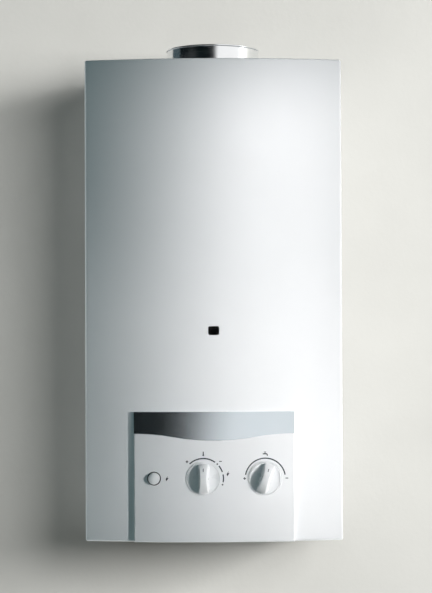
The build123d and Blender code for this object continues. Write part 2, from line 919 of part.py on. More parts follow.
def gas_valve_body():
    """Die-cast valve body: a front cavity for the cam, a guide, a magnet bore behind and the disc chamber beside."""
    low, high = control_level - gas_valve_height / 2, control_level + gas_valve_height / 2
    body = block(gas_valve_left, gas_valve_right, -gas_valve_front, -gas_valve_rear, low, high)
    body = fillet(body.edges().filter_by(Axis.Y), valve_edge)
    centre = (power_x, control_level)
    floor = -gas_valve_front + cavity_depth
    body -= along_y(cavity_radius, *centre, -gas_valve_front - 1, floor)
    body -= along_y(plunger_radius + running_fit, *centre, floor - 1, -gas_valve_rear)
    body -= along_y(magnet_radius, *centre, -gas_valve_rear - magnet_bore_depth, -gas_valve_rear + 1)
    line = (control_line.Y, control_line.Z)
    body -= along_x(disc_chamber, *line, disc_seat - chamber_depth, disc_seat)
    body -= along_x(seat_bore, *line, disc_seat - 1, gas_valve_right + 1)
    feed = gas_feed_x()
    body -= upright(feed_radius - 2 * pipe_wall, feed, -valve_depth, control_level, high + 1)
    inlet_end = control_level - gas_valve_height / 4
    body -= upright(pipe_radius - pipe_wall, power_x - gas_pipe_shift, -valve_depth, low - 1, inlet_end)
    return body


def gas_valve_cover():
    """Square front plate with the gland that the power spindle turns in."""
    x, z = power_x, control_level
    rear = -gas_valve_front - joint_gap
    front = -gas_valve_front - cover_thickness
    half = cover_size / 2
    plate = block(x - half, x + half, front, rear, z - half, z + half)
    plate = fillet(plate.edges().filter_by(Axis.Y), valve_edge)
    plate += along_y(boss_radius, x, z, front - cover_boss, rear - 1)
    plate -= along_y(spindle_radius + running_fit, x, z, front - cover_boss - 1, rear + 1)
    for x, z in cover_screw_places():
        plate -= along_y(valve_screw_radius + 2 * running_fit, x, z, front - 1, rear + 1)
    return plate


def cover_screw_places():
    """Centres of the four screws in the gas valve's front plate."""
    reach = cover_size / 2 - cover_screw_corner
    return [(power_x + i * reach, control_level + k * reach) for i in (-1, 1) for k in (-1, 1)]


def gas_valve_screws():
    """Hexagon screws at the corners of the valve's front plate."""
    screws = []
    front = -gas_valve_front - cover_thickness
    tip = -gas_valve_front - 2 * joint_gap
    for x, z in cover_screw_places():
        head = hexagon(valve_screw_flats, (x, front - joint_gap, z), (x, front - valve_screw_head, z))
        screws.append(head + along_y(valve_screw_radius, x, z, front - 1, tip))
    return screws


def power_spindle():
    """Spindle with a flat for the knob and a cam disc inside the valve."""
    x, z = power_x, control_level
    front, cam_front = power_spindle_front(), cam_face()
    cam_rear = cam_front + cam_thickness
    spindle = along_y(spindle_radius, x, z, front, cam_front)
    spindle += along_y(cam_radius, x, z, cam_front, cam_rear)
    wide = spindle_radius + 1
    flat = block(x - wide, x + wide, front - 1, front + flat_length, z + flat_height, z + wide)
    half, floor = cam_notch / 2, z + cam_radius - cam_notch
    notch = block(x - half, x + half, cam_front - 1, cam_rear + 1, floor, z + cam_radius + 1)
    return spindle - flat - notch


def power_spindle_front():
    return -gas_valve_front - cover_thickness - spindle_standing


def cam_face():
    """Front of the cam disc inside the valve's cavity."""
    return -gas_valve_front + cam_sink


def pilot_plunger():
    """Head behind the cam and a rod that lifts the thermo-magnet's armature."""
    front = cam_face() + cam_thickness + cam_gap
    head = along_y(plunger_head, power_x, control_level, front, front + head_thickness)
    return head + along_y(plunger_radius, power_x, control_level, front, front + plunger_length)


def plunger_spring():
    """Spring behind the plunger's head, drawn as its outer sleeve."""
    front = cam_face() + cam_thickness + cam_gap + head_thickness + joint_gap
    rear = -gas_valve_front + cavity_depth - joint_gap
    ends = [(power_x, y, control_level) for y in (front, rear)]
    return ring(plunger_head - 1, plunger_head / 2, *ends)


def thermo_magnet():
    """Magnet cartridge screwed in at the valve's rear."""
    x, z = power_x, control_level
    rear = -gas_valve_rear
    nose = along_y(magnet_nose, x, z, rear - magnet_nut, rear + 1)
    seat = hexagon(magnet_flats, (x, rear + joint_gap, z), (x, rear + magnet_nut, z))
    return nose + seat + along_y(magnet_neck, x, z, rear + magnet_nut - 1, rear + magnet_length)


def gas_disc():
    """Disc that opens the gas way when water flows."""
    x = disc_seat - disc_thickness - 2 * joint_gap
    return along_x(disc_radius, control_line.Y, control_line.Z, x, x + disc_thickness)


def disc_spring():
    """Return spring behind the gas disc, drawn as its outer sleeve."""
    y, z = control_line.Y, control_line.Z
    left = disc_seat - chamber_depth + joint_gap
    right = disc_seat - disc_thickness - 3 * joint_gap
    return ring(spring_radius, spring_radius - spring_wire, (left, y, z), (right, y, z))


def diaphragm_rod():
    """Plate that the diaphragm carries, and the rod that pushes the gas disc."""
    y, z = control_line.Y, control_line.Z
    plate_left = diaphragm_left - 2 * joint_gap - plate_thickness
    plate = along_x(plate_radius, y, z, plate_left, plate_left + plate_thickness)
    return plate + along_x(push_rod, y, z, disc_seat - joint_gap, plate_left + 1)


def diaphragm():
    y, z = control_line.Y, control_line.Z
    left, right = diaphragm_left + joint_gap, diaphragm_left + diaphragm_thickness - joint_gap
    return along_x(chamber_radius - 1, y, z, left, right)


def diaphragm_cover():
    """Left half of the water valve: domed chamber, bolting flange and the rod's gland against the gas valve."""
    y, z = control_line.Y, control_line.Z
    flange_left = diaphragm_left - half_thickness
    cover = along_x(chamber_radius, y, z, flange_left, diaphragm_left)
    cover += along_x(chamber_bore + chamber_wall, y, z, cover_left, flange_left + 1)
    cover += along_x(cover_hub, y, z, gas_valve_right + joint_gap, cover_left + 1)
    cover -= along_x(chamber_bore, y, z, cover_left + 2 * chamber_wall, diaphragm_left + 1)
    cover -= along_x(push_rod + running_fit, y, z, 0, diaphragm_left)
    for dy, dz in flange_bolts():
        cover -= along_x(bolt_hole, y + dy, z + dz, flange_left - 1, diaphragm_left + 1)
    return cover


def flange_bolts():
    """Places of the six screws round the diaphragm chamber, from its axis."""
    circle = (chamber_radius + chamber_bore + chamber_wall) / 2
    return [(circle * cos(radians(60 * i + 30)), circle * sin(radians(60 * i + 30))) for i in range(6)]


def diaphragm_screws():
    left = diaphragm_left - half_thickness - joint_gap
    screws = []
    for dy, dz in flange_bolts():
        y, z = control_line.Y + dy, control_line.Z + dz
        head = hexagon(bolt_flats, (left - bolt_head, y, z), (left, y, z))
        screws.append(head + along_x(bolt_radius, y, z, left - 1, diaphragm_left - seat_gap))
    return screws


def water_valve_body():
    """Brass casting: right half of the diaphragm chamber, then the block with the ports and the selector."""
    y, z = control_line.Y, control_line.Z
    left = diaphragm_left + diaphragm_thickness
    body = along_x(chamber_radius, y, z, left, left + half_thickness)
    half = body_half
    core = block(left + half_thickness - 1, body_right, y - half, y + half, z - half, z + half)
    outer_edges = core.edges().filter_by(Axis.X) + core.faces().sort_by(Axis.X)[-1].edges()
    body += fillet(outer_edges, body_edge)
    port_low, port_high = z - body_half - port_length, z + body_half + port_length
    body += upright(port_radius + port_wall, inlet_x, y, port_low, z)
    body += upright(port_radius + port_wall, outlet_x, y, z, port_high - joint_gap)
    for height in (z - stud_spread, z + stud_spread):
        body += along_y(stud_radius, inlet_x, height, -bracket_plane + joint_gap, y)
    neck = y - body_half - neck_length
    body += along_y(neck_radius, temperature_x, z, neck, y)
    body -= along_x(chamber_bore, y, z, left - 1, left + half_thickness - 1)
    body -= upright(port_radius, inlet_x, y, port_low - 1, z)
    socket_end = y - body_half + spindle_socket
    body -= along_y(spindle_radius + running_fit, temperature_x, z, neck - 1, socket_end)
    return body


def inlet_strainer():
    """Cup-shaped sieve in the inlet port."""
    y, z = control_line.Y, control_line.Z
    low = z - body_half - port_length + seat_gap
    high = low + strainer_length
    radius = port_radius - strainer_gap
    cup = upright(radius, inlet_x, y, low, high)
    return cup - upright(radius - strainer_wall, inlet_x, y, low - 1, high - strainer_wall)


def gland_nut():
    """Hexagon nut that holds the temperature spindle in the water valve."""
    x, z = temperature_x, control_level
    rear = control_line.Y - body_half - neck_length - joint_gap
    front = rear - gland_height
    nut = hexagon(gland_flats, (x, front, z), (x, rear, z))
    return nut - along_y(spindle_radius + running_fit, x, z, front - 1, rear + 1)


def temperature_spindle():
    """Spindle with a flat for the knob, running into the water valve."""
    front = front_y(temperature_x, -fascia_proud) - knob_standing + spindle_inset
    rear = control_line.Y - body_half + spindle_socket - 2
    spindle = along_y(spindle_radius, temperature_x, control_level, front, rear)
    wide = spindle_radius + 1
    flat = block(-wide, wide, front - 1, front + flat_length, flat_height, wide)
    return spindle - turned_at(temperature_x, temperature_rest, flat)


def turned_at(x, degrees, shape):
    """Shape drawn about the Y axis, turned clockwise as seen from the front and moved to x."""
    return Pos(x, 0, control_level) * Rot(0, degrees, 0) * shape


def knob(rim_front):
    """Round knob on the Y axis with a raised, crowned grip that points upward."""
    rear = rim_front + knob_length
    skirt = along_y(knob_radius, 0, 0, rim_front, rear)
    skirt = fillet(skirt.faces().sort_by(Axis.Y)[0].edges(), knob_rim_radius)
    face_radius = knob_radius - knob_rim
    floor = rim_front + knob_recess
    recess = along_y(face_radius, 0, 0, rim_front - 1, floor)
    face = Plane((0, floor + 1, 0), x_dir=(1, 0, 0), z_dir=(0, -1, 0)) * grip_outline()
    grip = extrude(face, floor + 1 - rim_front + grip_height)
    grip &= Pos(0, rim_front - grip_height + grip_crown, 0) * Sphere(grip_crown)
    grip = chamfer(grip.faces().sort_by(Axis.Y)[0].edges(), grip_edge)
    hollow = ring(face_radius, hub_radius, (0, rear + 1, 0), (0, floor + knob_wall, 0))
    return skirt - recess + grip - hollow


def grip_outline():
    """Bar seen from the front: waisted flanks, and ends that follow the rim's flat land."""
    reach = knob_radius - (knob_rim + knob_rim_radius) / 2
    waist, end = grip_waist / 2, grip_end / 2
    tip = (reach**2 - end**2) ** 0.5
    left = ThreePointArc((-end, tip), (-waist, 0), (-end, -tip))
    right = ThreePointArc((end, -tip), (waist, 0), (end, tip))
    top = ThreePointArc((-end, tip), (0, reach), (end, tip))
    bottom = ThreePointArc((-end, -tip), (0, -reach), (end, -tip))
    return make_face(Curve() + [left, right, top, bottom])


def knob_bore(front, rear):
    """D-shaped bore for a spindle, about the Y axis."""
    bore = along_y(spindle_radius + running_fit, 0, 0, front, rear + 1)
    wide = spindle_radius + 1
    return bore - block(-wide, wide, front, front + flat_length, flat_height + running_fit, wide)


def power_knob():
    front = front_y(power_x, -fascia_proud) - knob_standing
    shape = knob(front) - knob_bore(power_spindle_front() - bore_gap, front + knob_length)
    return turned_at(power_x, 0, shape)


def temperature_knob():
    front = front_y(temperature_x, -fascia_proud) - knob_standing
    shape = knob(front) - knob_bore(front + spindle_inset - bore_gap, front + knob_length)
    return turned_at(temperature_x, temperature_rest, shape)


def piezo_face():
    """Front of the igniter's flange, which sits on the controls bracket."""
    return -bracket_plane - carrier_sheet - piezo_flange_height


def piezo_button():
    """Domed push button on a shaft."""
    front = front_y(piezo_x, -fascia_proud) - button_standing
    cap = along_y(button_radius, piezo_x, control_level, front, front + button_length)
    cap &= Pos(piezo_x, front + button_crown, control_level) * Sphere(button_crown)
    cap = fillet(cap.faces().sort_by(Axis.Y)[0].edges(), button_edge)
    rear = piezo_face() + piezo_socket
    return cap + along_y(piezo_shaft, piezo_x, control_level, front + button_length - 1, rear)


def piezo_spring():
    """Return spring under the button, drawn as its outer sleeve."""
    front = front_y(piezo_x, -fascia_proud) - button_standing + button_length + joint_gap
    ends = [(piezo_x, y, control_level) for y in (front, piezo_face() - joint_gap)]
    return ring(piezo_shaft + 2, piezo_shaft + 1, *ends)


def piezo_body():
    """Igniter barrel with its flange in front of the bracket and a lead stub behind."""
    x, z, face = piezo_x, control_level, piezo_face()
    end = face + piezo_length
    body = along_y(piezo_flange, x, z, face, face + piezo_flange_height - joint_gap)
    body += along_y(piezo_radius, x, z, face + 1, end)
    body += along_y(piezo_stub, x, z, end - 1, end + piezo_stub_length)
    socket_end = face + piezo_socket + button_travel + button_spare
    return body - along_y(piezo_shaft + running_fit, x, z, face - 1, socket_end)


def piezo_nut():
    x, z = piezo_x, control_level
    front = -bracket_plane + joint_gap
    rear = front + piezo_nut_height
    nut = hexagon(2 * piezo_flange, (x, front, z), (x, rear, z))
    return nut - along_y(piezo_radius + running_fit, x, z, front - 1, rear + 1)


def controls_bracket():
    """Folded plate that ties the gas valve, the water valve and the igniter together."""
    front = -bracket_plane - carrier_sheet
    low, high = control_level - carrier_half, control_level + carrier_half
    plate = block(carrier_left, carrier_right, front, -bracket_plane, low, high)
    for z in (low, high - carrier_sheet):
        plate += block(carrier_left, carrier_right, front, front + carrier_return, z, z + carrier_sheet)
    rear = -bracket_plane + 1
    plate -= along_y(boss_radius + 1, power_x, control_level, front - 1, rear)
    plate -= along_y(neck_radius + 2, temperature_x, control_level, front - 1, rear)
    plate -= along_y(piezo_radius + running_fit, piezo_x, control_level, front - 1, rear)
    for x, z in cover_screw_places():
        plate -= along_y(valve_screw_flats / 2 + 1.25, x, z, front - 1, rear)
    return plate


def pipe_end(x):
    """Union at the bottom of a pipe: thread below, plain body through the connection shelf above."""
    low, step, high = [(x, -pipe_depth, -pipe_drop + rise) for rise in (0, union_thread, union_length)]
    return ring(union_radius, union_bore, low, step) + ring(union_body, union_bore, step, high)


def pipe_from_union(x, rest, bends):
    """Pipe brazed into its union; the bore is drawn where the union shows it."""
    points = [(x, -pipe_depth, -pipe_drop + union_length - 1), *rest]
    return pipe_end(x) + bend(points, bends, pipe_radius)


def gas_inlet_pipe():
    top = control_level - gas_valve_height / 2 - joint_gap
    end = power_x - gas_pipe_shift
    rest = [
        (power_x, -pipe_depth, pipe_level + union_rise),
        (end, -valve_depth, pipe_level),
        (end, -valve_depth, top),
    ]
    return pipe_from_union(power_x, rest, [pipe_bend] * 2)


def cold_inlet_pipe():
    top = control_level - body_half - port_length - joint_gap
    x = inlet_x
    rest = [(x, -pipe_depth, pipe_level + union_rise), (x, -valve_depth, pipe_level), (x, -valve_depth, top)]
    return pipe_from_union(x, rest, [pipe_bend] * 2)


def hot_outlet_pipe():
    row = tube_rows()[-1]
    rest = [
        (hot_x, -pipe_depth, hot_rise / 2),
        (-hot_side, row, hot_rise),
        (-hot_side, row, fin_tube_level),
        (-tube_reach - joint_gap, row, fin_tube_level),
    ]
    return pipe_from_union(hot_x, rest, [hot_bend, hot_bend, pipe_bend])


def connection_bracket():
    """Shelf across the foot of the back plate that the three pipe unions pass through."""
    rear = -plate_sheet - joint_gap
    front = rear - shelf_depth
    low = pipe_shelf()
    half = max(-hot_x, inlet_x) + lock_nut_flats / sqrt(3) + shelf_margin
    shelf = block(-half, half, front, rear, low, low + shelf_sheet)
    shelf += block(-half, half, rear - shelf_sheet, rear, low, low + shelf_lip)
    for x in (-half, half - shelf_sheet):
        shelf += block(x, x + shelf_sheet, front, rear, low, low + gusset_height)
    for x in (hot_x, power_x, inlet_x):
        shelf -= upright(union_body + union_gap, x, -pipe_depth, low - 1, low + shelf_sheet + 1)
    return shelf


def pipe_shelf():
    """Underside of the connection shelf, just above the back plate's lower flange."""
    return sheet + seat_gap + plate_sheet + shelf_gap


def lock_nuts():
    """Nuts that clamp the unions on the shelf, from above."""
    low = pipe_shelf() + shelf_sheet + joint_gap
    high = low + lock_nut_height
    nuts = []
    for x in (hot_x, power_x, inlet_x):
        nut = hexagon(lock_nut_flats, (x, -pipe_depth, low), (x, -pipe_depth, high))
        nuts.append(nut - upright(union_body + running_fit, x, -pipe_depth, low - 1, high + 1))
    return nuts


def pilot_gas_pipe():
    """Thin pipe from the gas valve to the foot of the pilot burner."""
    x, y = power_x - pilot_port_shift, -gas_valve_front + pilot_port_depth
    start = control_level + gas_valve_height / 2 + joint_gap
    end = pilot_seat() - pilot_foot - joint_gap
    rise = (end - start) / 5
    points = [
        (x, y, start),
        (x, y, start + 2 * rise),
        (0, pilot_line(), start + 3 * rise),
        (0, pilot_line(), end),
    ]
    return bend(points, [pilot_bend] * 2, pilot_pipe_radius)


def thermocouple_lead():
    """Capillary from the thermocouple round the gas valve to the thermo-magnet."""
    x, y = -pilot_spread, pilot_line()
    start = pilot_seat() - pilot_foot - joint_gap
    end = -gas_valve_rear + magnet_length + joint_gap
    side = gas_valve_left - lead_side
    top = control_level + gas_valve_height / 2
    points = [
        (x, y, start),
        (x, y, start - 1.25 * lead_rise),
        (side, -gas_valve_front + pilot_port_depth, top + lead_rise),
        (side + lead_step, end, top),
        (side + lead_side + lead_step, end + 1.35 * lead_tail, control_level + lead_lift),
        (power_x, end + lead_tail, control_level),
        (power_x, end, control_level),
    ]
    return bend(points, lead_bends, capillary_radius)


def ignition_lead():
    """Insulated lead from the igniter's stub to the foot of the electrode."""
    stub = piezo_face() + piezo_length + piezo_stub_length + joint_gap
    end = pilot_seat() - pilot_foot - joint_gap
    points = [
        (piezo_x, stub, control_level),
        (piezo_x, stub + cable_start, control_level),
        (piezo_x, stub + lead_rise, end - 1.45 * lead_rise),
        (pilot_spread, pilot_line(), end - 1.1 * lead_rise),
        (pilot_spread, pilot_line(), end),
    ]
    return bend(points, cable_bends, lead_radius)


os.makedirs("parts", exist_ok=True)
keep("casing_cover", casing_cover())
keep("control_fascia", control_fascia())
keep("fascia_band", fascia_band())
keep("fascia_clips", *fascia_clips())
keep("cover_screws", *cover_screws())
keep("cover_clip_nuts", *cover_clip_nuts())
keep("back_plate", back_plate())
keep("flue_hood", flue_hood())
keep("flue_collar", flue_collar())
keep("hood_skirt", hood_skirt())
keep("hood_baffle", hood_baffle())
keep("exchanger_jacket", exchanger_jacket())
keep("fin_block", fin_block())
keep("exchanger_return_bends", *exchanger_return_bends())
keep("exchanger_coil", exchanger_coil())
keep("exchanger_brackets", *exchanger_brackets())
keep("overheat_thermostat", overheat_thermostat())
keep("burner_frame", burner_frame())
keep("burner_blades", *burner_blades())
keep("gas_manifold", gas_manifold())
keep("injectors", *injectors())
keep("pilot_bracket", pilot_bracket())
keep("pilot_burner", pilot_burner())
keep("ignition_electrode", ignition_electrode())
keep("thermocouple", thermocouple())
keep("gas_valve_body", gas_valve_body())
keep("gas_valve_cover", gas_valve_cover())
keep("gas_valve_screws", *gas_valve_screws())
keep("power_spindle", power_spindle())
keep("pilot_plunger", pilot_plunger())
keep("plunger_spring", plunger_spring())
keep("thermo_magnet", thermo_magnet())
keep("gas_disc", gas_disc())
keep("disc_spring", disc_spring())
keep("diaphragm_rod", diaphragm_rod())
keep("diaphragm", diaphragm())
keep("diaphragm_cover", diaphragm_cover())
keep("diaphragm_screws", *diaphragm_screws())
keep("water_valve_body", water_valve_body())
keep("inlet_strainer", inlet_strainer())
keep("gland_nut", gland_nut())
keep("temperature_spindle", temperature_spindle())
keep("power_knob", power_knob())
keep("temperature_knob", temperature_knob())
keep("piezo_button", piezo_button())
keep("piezo_spring", piezo_spring())
keep("piezo_body", piezo_body())
keep("piezo_nut", piezo_nut())
keep("controls_bracket", controls_bracket())
keep("gas_inlet_pipe", gas_inlet_pipe())
keep("cold_inlet_pipe", cold_inlet_pipe())
keep("hot_outlet_pipe", hot_outlet_pipe())
keep("connection_bracket", connection_bracket())
keep("lock_nuts", *lock_nuts())
keep("pilot_gas_pipe", pilot_gas_pipe())
keep("thermocouple_lead", thermocouple_lead())
keep("ignition_lead", ignition_lead())
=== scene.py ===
import math

import bmesh
import bpy
from mathutils import Matrix, Vector
from mathutils.bvhtree import BVHTree


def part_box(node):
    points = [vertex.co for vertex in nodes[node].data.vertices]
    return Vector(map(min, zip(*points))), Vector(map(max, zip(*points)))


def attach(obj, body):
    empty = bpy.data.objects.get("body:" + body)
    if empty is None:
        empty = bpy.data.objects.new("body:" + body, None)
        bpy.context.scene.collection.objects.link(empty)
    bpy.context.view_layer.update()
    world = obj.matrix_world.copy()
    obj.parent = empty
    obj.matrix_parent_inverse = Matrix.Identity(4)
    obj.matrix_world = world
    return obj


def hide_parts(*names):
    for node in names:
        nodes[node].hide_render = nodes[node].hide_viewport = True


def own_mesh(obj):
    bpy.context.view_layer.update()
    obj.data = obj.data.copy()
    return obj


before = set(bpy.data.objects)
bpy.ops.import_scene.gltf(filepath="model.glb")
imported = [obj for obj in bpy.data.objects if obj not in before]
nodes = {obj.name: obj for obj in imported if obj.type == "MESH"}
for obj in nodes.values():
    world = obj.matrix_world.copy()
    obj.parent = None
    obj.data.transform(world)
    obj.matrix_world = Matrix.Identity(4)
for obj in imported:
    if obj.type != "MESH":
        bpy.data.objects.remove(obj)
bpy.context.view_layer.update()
mm = 0.001
print("frame loaded:", len(nodes), "nodes")


# small helpers for the materials
def srgb(code):
    parts = [int(code[i : i + 2], 16) / 255 for i in (1, 3, 5)]
    linear = [c / 12.92 if c <= 0.04045 else ((c + 0.055) / 1.055) ** 2.4 for c in parts]
    return (*linear, 1.0)


def perMetre(size):
    return 1 / (size * mm)  # texture scale for a grain of that many millimetres


def addNode(tree, kind, values=None, links=None, **settings):
    node = tree.nodes.new(kind)
    for name, value in settings.items():
        setattr(node, name, value)
    for socket, value in (values or {}).items():
        node.inputs[socket].default_value = value
    for socket, source in (links or {}).items():
        tree.links.new(source, node.inputs[socket])
    return node


def newFinish(name, **sockets):
    material = bpy.data.materials.new(name)
    material.use_nodes = True
    tree = material.node_tree
    shader = tree.nodes["Principled BSDF"]
    for socket, value in sockets.items():
        shader.inputs[socket.replace("_", " ")].default_value = value
    coords = addNode(tree, "ShaderNodeTexCoord").outputs["Object"]
    return material, tree, shader, coords


def mottle(tree, shader, coords, size, dark, light, stretch=(1, 1, 1), detail=3.0):
    # slow change of colour over the surface, from dark to light
    place = addNode(tree, "ShaderNodeMapping", {"Scale": stretch}, {"Vector": coords})
    noise = addNode(
        tree,
        "ShaderNodeTexNoise",
        {"Scale": perMetre(size), "Detail": detail, "Roughness": 0.55},
        {"Vector": place.outputs["Vector"]},
    )
    ramp = addNode(tree, "ShaderNodeValToRGB", links={"Fac": noise.outputs["Fac"]})
    ramp.color_ramp.elements[0].position = 0.32
    ramp.color_ramp.elements[0].color = srgb(dark)
    ramp.color_ramp.elements[1].position = 0.68
    ramp.color_ramp.elements[1].color = srgb(light)
    tree.links.new(ramp.outputs["Color"], shader.inputs["Base Color"])
    return ramp


def roughen(tree, shader, coords, size, low, high, stretch=(1, 1, 1)):
    place = addNode(tree, "ShaderNodeMapping", {"Scale": stretch}, {"Vector": coords})
    noise = addNode(
        tree, "ShaderNodeTexNoise", {"Scale": perMetre(size)}, {"Vector": place.outputs["Vector"]}
    )
    spread = addNode(
        tree,
        "ShaderNodeMapRange",
        {"From Min": 0.3, "From Max": 0.7, "To Min": low, "To Max": high},
        {"Value": noise.outputs["Fac"]},
    )
    tree.links.new(spread.outputs["Result"], shader.inputs["Roughness"])


def grain(tree, shader, coords, size, depth, strength=1.0, stretch=(1, 1, 1), detail=2.0):
    # fine relief; depth in millimetres
    place = addNode(tree, "ShaderNodeMapping", {"Scale": stretch}, {"Vector": coords})
    noise = addNode(
        tree,
        "ShaderNodeTexNoise",
        {"Scale": perMetre(size), "Detail": detail},
        {"Vector": place.outputs["Vector"]},
    )
    bump = addNode(
        tree,
        "ShaderNodeBump",
        {"Strength": strength, "Distance": depth * mm},
        {"Height": noise.outputs["Fac"]},
    )
    tree.links.new(bump.outputs["Normal"], shader.inputs["Normal"])
    return bump


# one function for each real finish
def powderCoat():
    # white polyester powder coat on steel sheet: even, glossy, with faint orange peel
    material, tree, shader, coords = newFinish("powderCoat", IOR=1.5)
    mottle(tree, shader, coords, 140, "#EFF2F3", "#F2F5F6")
    roughen(tree, shader, coords, 60, 0.30, 0.36)
    grain(tree, shader, coords, 3.5, 0.02)  # peel is nearer 2 mm; coarser so that it shows
    return material


def mouldedAbs():
    # ABS moulding with a fine spark-eroded face: a shade greyer than the casing
    material, tree, shader, coords = newFinish("mouldedAbs", IOR=1.53)
    mottle(tree, shader, coords, 90, "#E9ECED", "#ECEFF0")
    roughen(tree, shader, coords, 25, 0.40, 0.47)
    grain(tree, shader, coords, 0.9, 0.012)  # the eroded grain is about 0.3 mm
    return material


def polishedAbs():
    # ABS from a polished mould, for knobs and button
    material, tree, shader, coords = newFinish("polishedAbs", IOR=1.53)
    mottle(tree, shader, coords, 30, "#E6E9EA", "#E9ECED")
    roughen(tree, shader, coords, 12, 0.26, 0.33)
    grain(tree, shader, coords, 1.2, 0.004)
    return material


def metallisedFilm():
    # silver film bonded to the moulding: an even, dull mirror
    material, tree, shader, coords = newFinish("metallisedFilm", Metallic=1.0)
    mottle(tree, shader, coords, 40, "#D9E2E7", "#DCE4E9")
    roughen(tree, shader, coords, 30, 0.17, 0.19)
    grain(tree, shader, coords, 1.2, 0.0002)
    return material


def drawnSpringWire():
    # hard-drawn wire, lightly oiled
    material, tree, shader, coords = newFinish("drawnSpringWire", Metallic=1.0)
    mottle(tree, shader, coords, 5, "#7E8488", "#A3A8AB")
    roughen(tree, shader, coords, 2, 0.24, 0.36)
    grain(tree, shader, coords, 0.6, 0.006)
    return material


def zincPlate():
    # bright zinc with a clear passivate: bluish with a faint straw bloom
    material, tree, shader, coords = newFinish("zincPlate", Metallic=1.0)
    ramp = mottle(tree, shader, coords, 14, "#A9B2B9", "#C6C9C2")
    middle = ramp.color_ramp.elements.new(0.5)
    middle.color = srgb("#BCC1C6")
    roughen(tree, shader, coords, 8, 0.28, 0.40)
    grain(tree, shader, coords, 1.0, 0.006)
    return material


def galvanisedSheet():
    # hot-dip galvanised sheet: zinc crystals 6 to 12 mm across, each with its own sheen
    material, tree, shader, coords = newFinish("galvanisedSheet", Metallic=1.0)
    warp = addNode(
        tree, "ShaderNodeTexNoise", {"Scale": perMetre(12), "Detail": 2.0}, {"Vector": coords}
    )
    # inputs 4 and 5 of the Mix node are its two vectors
    bend = addNode(
        tree, "ShaderNodeMix", {0: 0.004}, {4: coords, 5: warp.outputs["Color"]}, data_type="VECTOR"
    )
    crystals = addNode(
        tree,
        "ShaderNodeTexVoronoi",
        {"Scale": perMetre(9), "Randomness": 1.0},
        {"Vector": bend.outputs[1]},
    )
    shade = addNode(tree, "ShaderNodeSeparateColor", links={"Color": crystals.outputs["Color"]})
    ramp = addNode(tree, "ShaderNodeValToRGB", links={"Fac": shade.outputs["Red"]})
    ramp.color_ramp.elements[0].color = srgb("#9CA3A8")
    ramp.color_ramp.elements[1].color = srgb("#C9CED1")
    tree.links.new(ramp.outputs["Color"], shader.inputs["Base Color"])
    sheen = addNode(
        tree,
        "ShaderNodeMapRange",
        {"To Min": 0.34, "To Max": 0.52},
        {"Value": shade.outputs["Green"]},
    )
    tree.links.new(sheen.outputs["Result"], shader.inputs["Roughness"])
    relief = addNode(
        tree,
        "ShaderNodeBump",
        {"Strength": 0.25, "Distance": 0.02 * mm},
        {"Height": crystals.outputs["Distance"]},
    )
    tree.links.new(relief.outputs["Normal"], shader.inputs["Normal"])
    return material


def spunAluminium():
    # spun and polished sheet: near mirror, with fine rings left by the roller
    material, tree, shader, coords = newFinish("spunAluminium", Metallic=1.0)
    mottle(tree, shader, coords, 20, "#EEF0F1", "#F3F4F5")
    roughen(tree, shader, coords, 10, 0.12, 0.19)
    grain(tree, shader, coords, 1.6, 0.004, stretch=(0.02, 0.02, 1))
    return material


def drawnCopper():
    # drawn copper: pink where clean, browner where handled and heated
    material, tree, shader, coords = newFinish("drawnCopper", Metallic=1.0)
    ramp = mottle(tree, shader, coords, 34, "#8E5136", "#C98661")
    middle = ramp.color_ramp.elements.new(0.5)
    middle.color = srgb("#B87350")
    roughen(tree, shader, coords, 12, 0.24, 0.42)
    grain(tree, shader, coords, 1.5, 0.008)
    return material


def stainlessSheet():
    # cold-rolled stainless: fine lines along the roll, straw heat tint in places
    material, tree, shader, coords = newFinish("stainlessSheet", Metallic=1.0)
    mottle(tree, shader, coords, 18, "#9D9A90", "#B4B6B6")
    roughen(tree, shader, coords, 2, 0.28, 0.42, stretch=(1, 0.08, 1))
    grain(tree, shader, coords, 0.7, 0.005, stretch=(1, 0.06, 1))
    return material


def aluminisedTube():
    # steel tube with a dull aluminised coat
    material, tree, shader, coords = newFinish("aluminisedTube", Metallic=1.0)
    mottle(tree, shader, coords, 10, "#8F9496", "#AEB2B3")
    roughen(tree, shader, coords, 5, 0.42, 0.56)
    grain(tree, shader, coords, 0.9, 0.012)
    return material


def forgedBrass():
    # hot-forged brass, shot-blasted: warm, matt in the hollows
    material, tree, shader, coords = newFinish("forgedBrass", Metallic=1.0)
    ramp = mottle(tree, shader, coords, 11, "#8F7541", "#C2A266")
    middle = ramp.color_ramp.elements.new(0.5)
    middle.color = srgb("#B08F53")
    roughen(tree, shader, coords, 4, 0.32, 0.50)
    grain(tree, shader, coords, 0.9, 0.02)
    return material


def castAluminium():
    # pressure die-cast aluminium: grey skin with flow marks
    material, tree, shader, coords = newFinish("castAluminium", Metallic=1.0)
    mottle(tree, shader, coords, 9, "#84898C", "#A4A9AB", stretch=(1, 1, 0.4))
    roughen(tree, shader, coords, 4, 0.48, 0.62)
    grain(tree, shader, coords, 1.1, 0.03)
    return material


def glazedCeramic():
    # white steatite with a clear glaze and a little firing smoke
    material, tree, shader, coords = newFinish(
        "glazedCeramic", IOR=1.55, Coat_Weight=0.6, Coat_Roughness=0.08
    )
    mottle(tree, shader, coords, 7, "#D9D2C2", "#EEEAE0")
    roughen(tree, shader, coords, 4, 0.22, 0.34)
    grain(tree, shader, coords, 1.0, 0.008)
    return material


def glassFilledNylon():
    # black glass-filled nylon: dull, slightly grainy
    material, tree, shader, coords = newFinish("glassFilledNylon", IOR=1.53)
    mottle(tree, shader, coords, 5, "#191B1C", "#26292B")
    roughen(tree, shader, coords, 2, 0.48, 0.62)
    grain(tree, shader, coords, 0.8, 0.02)
    return material


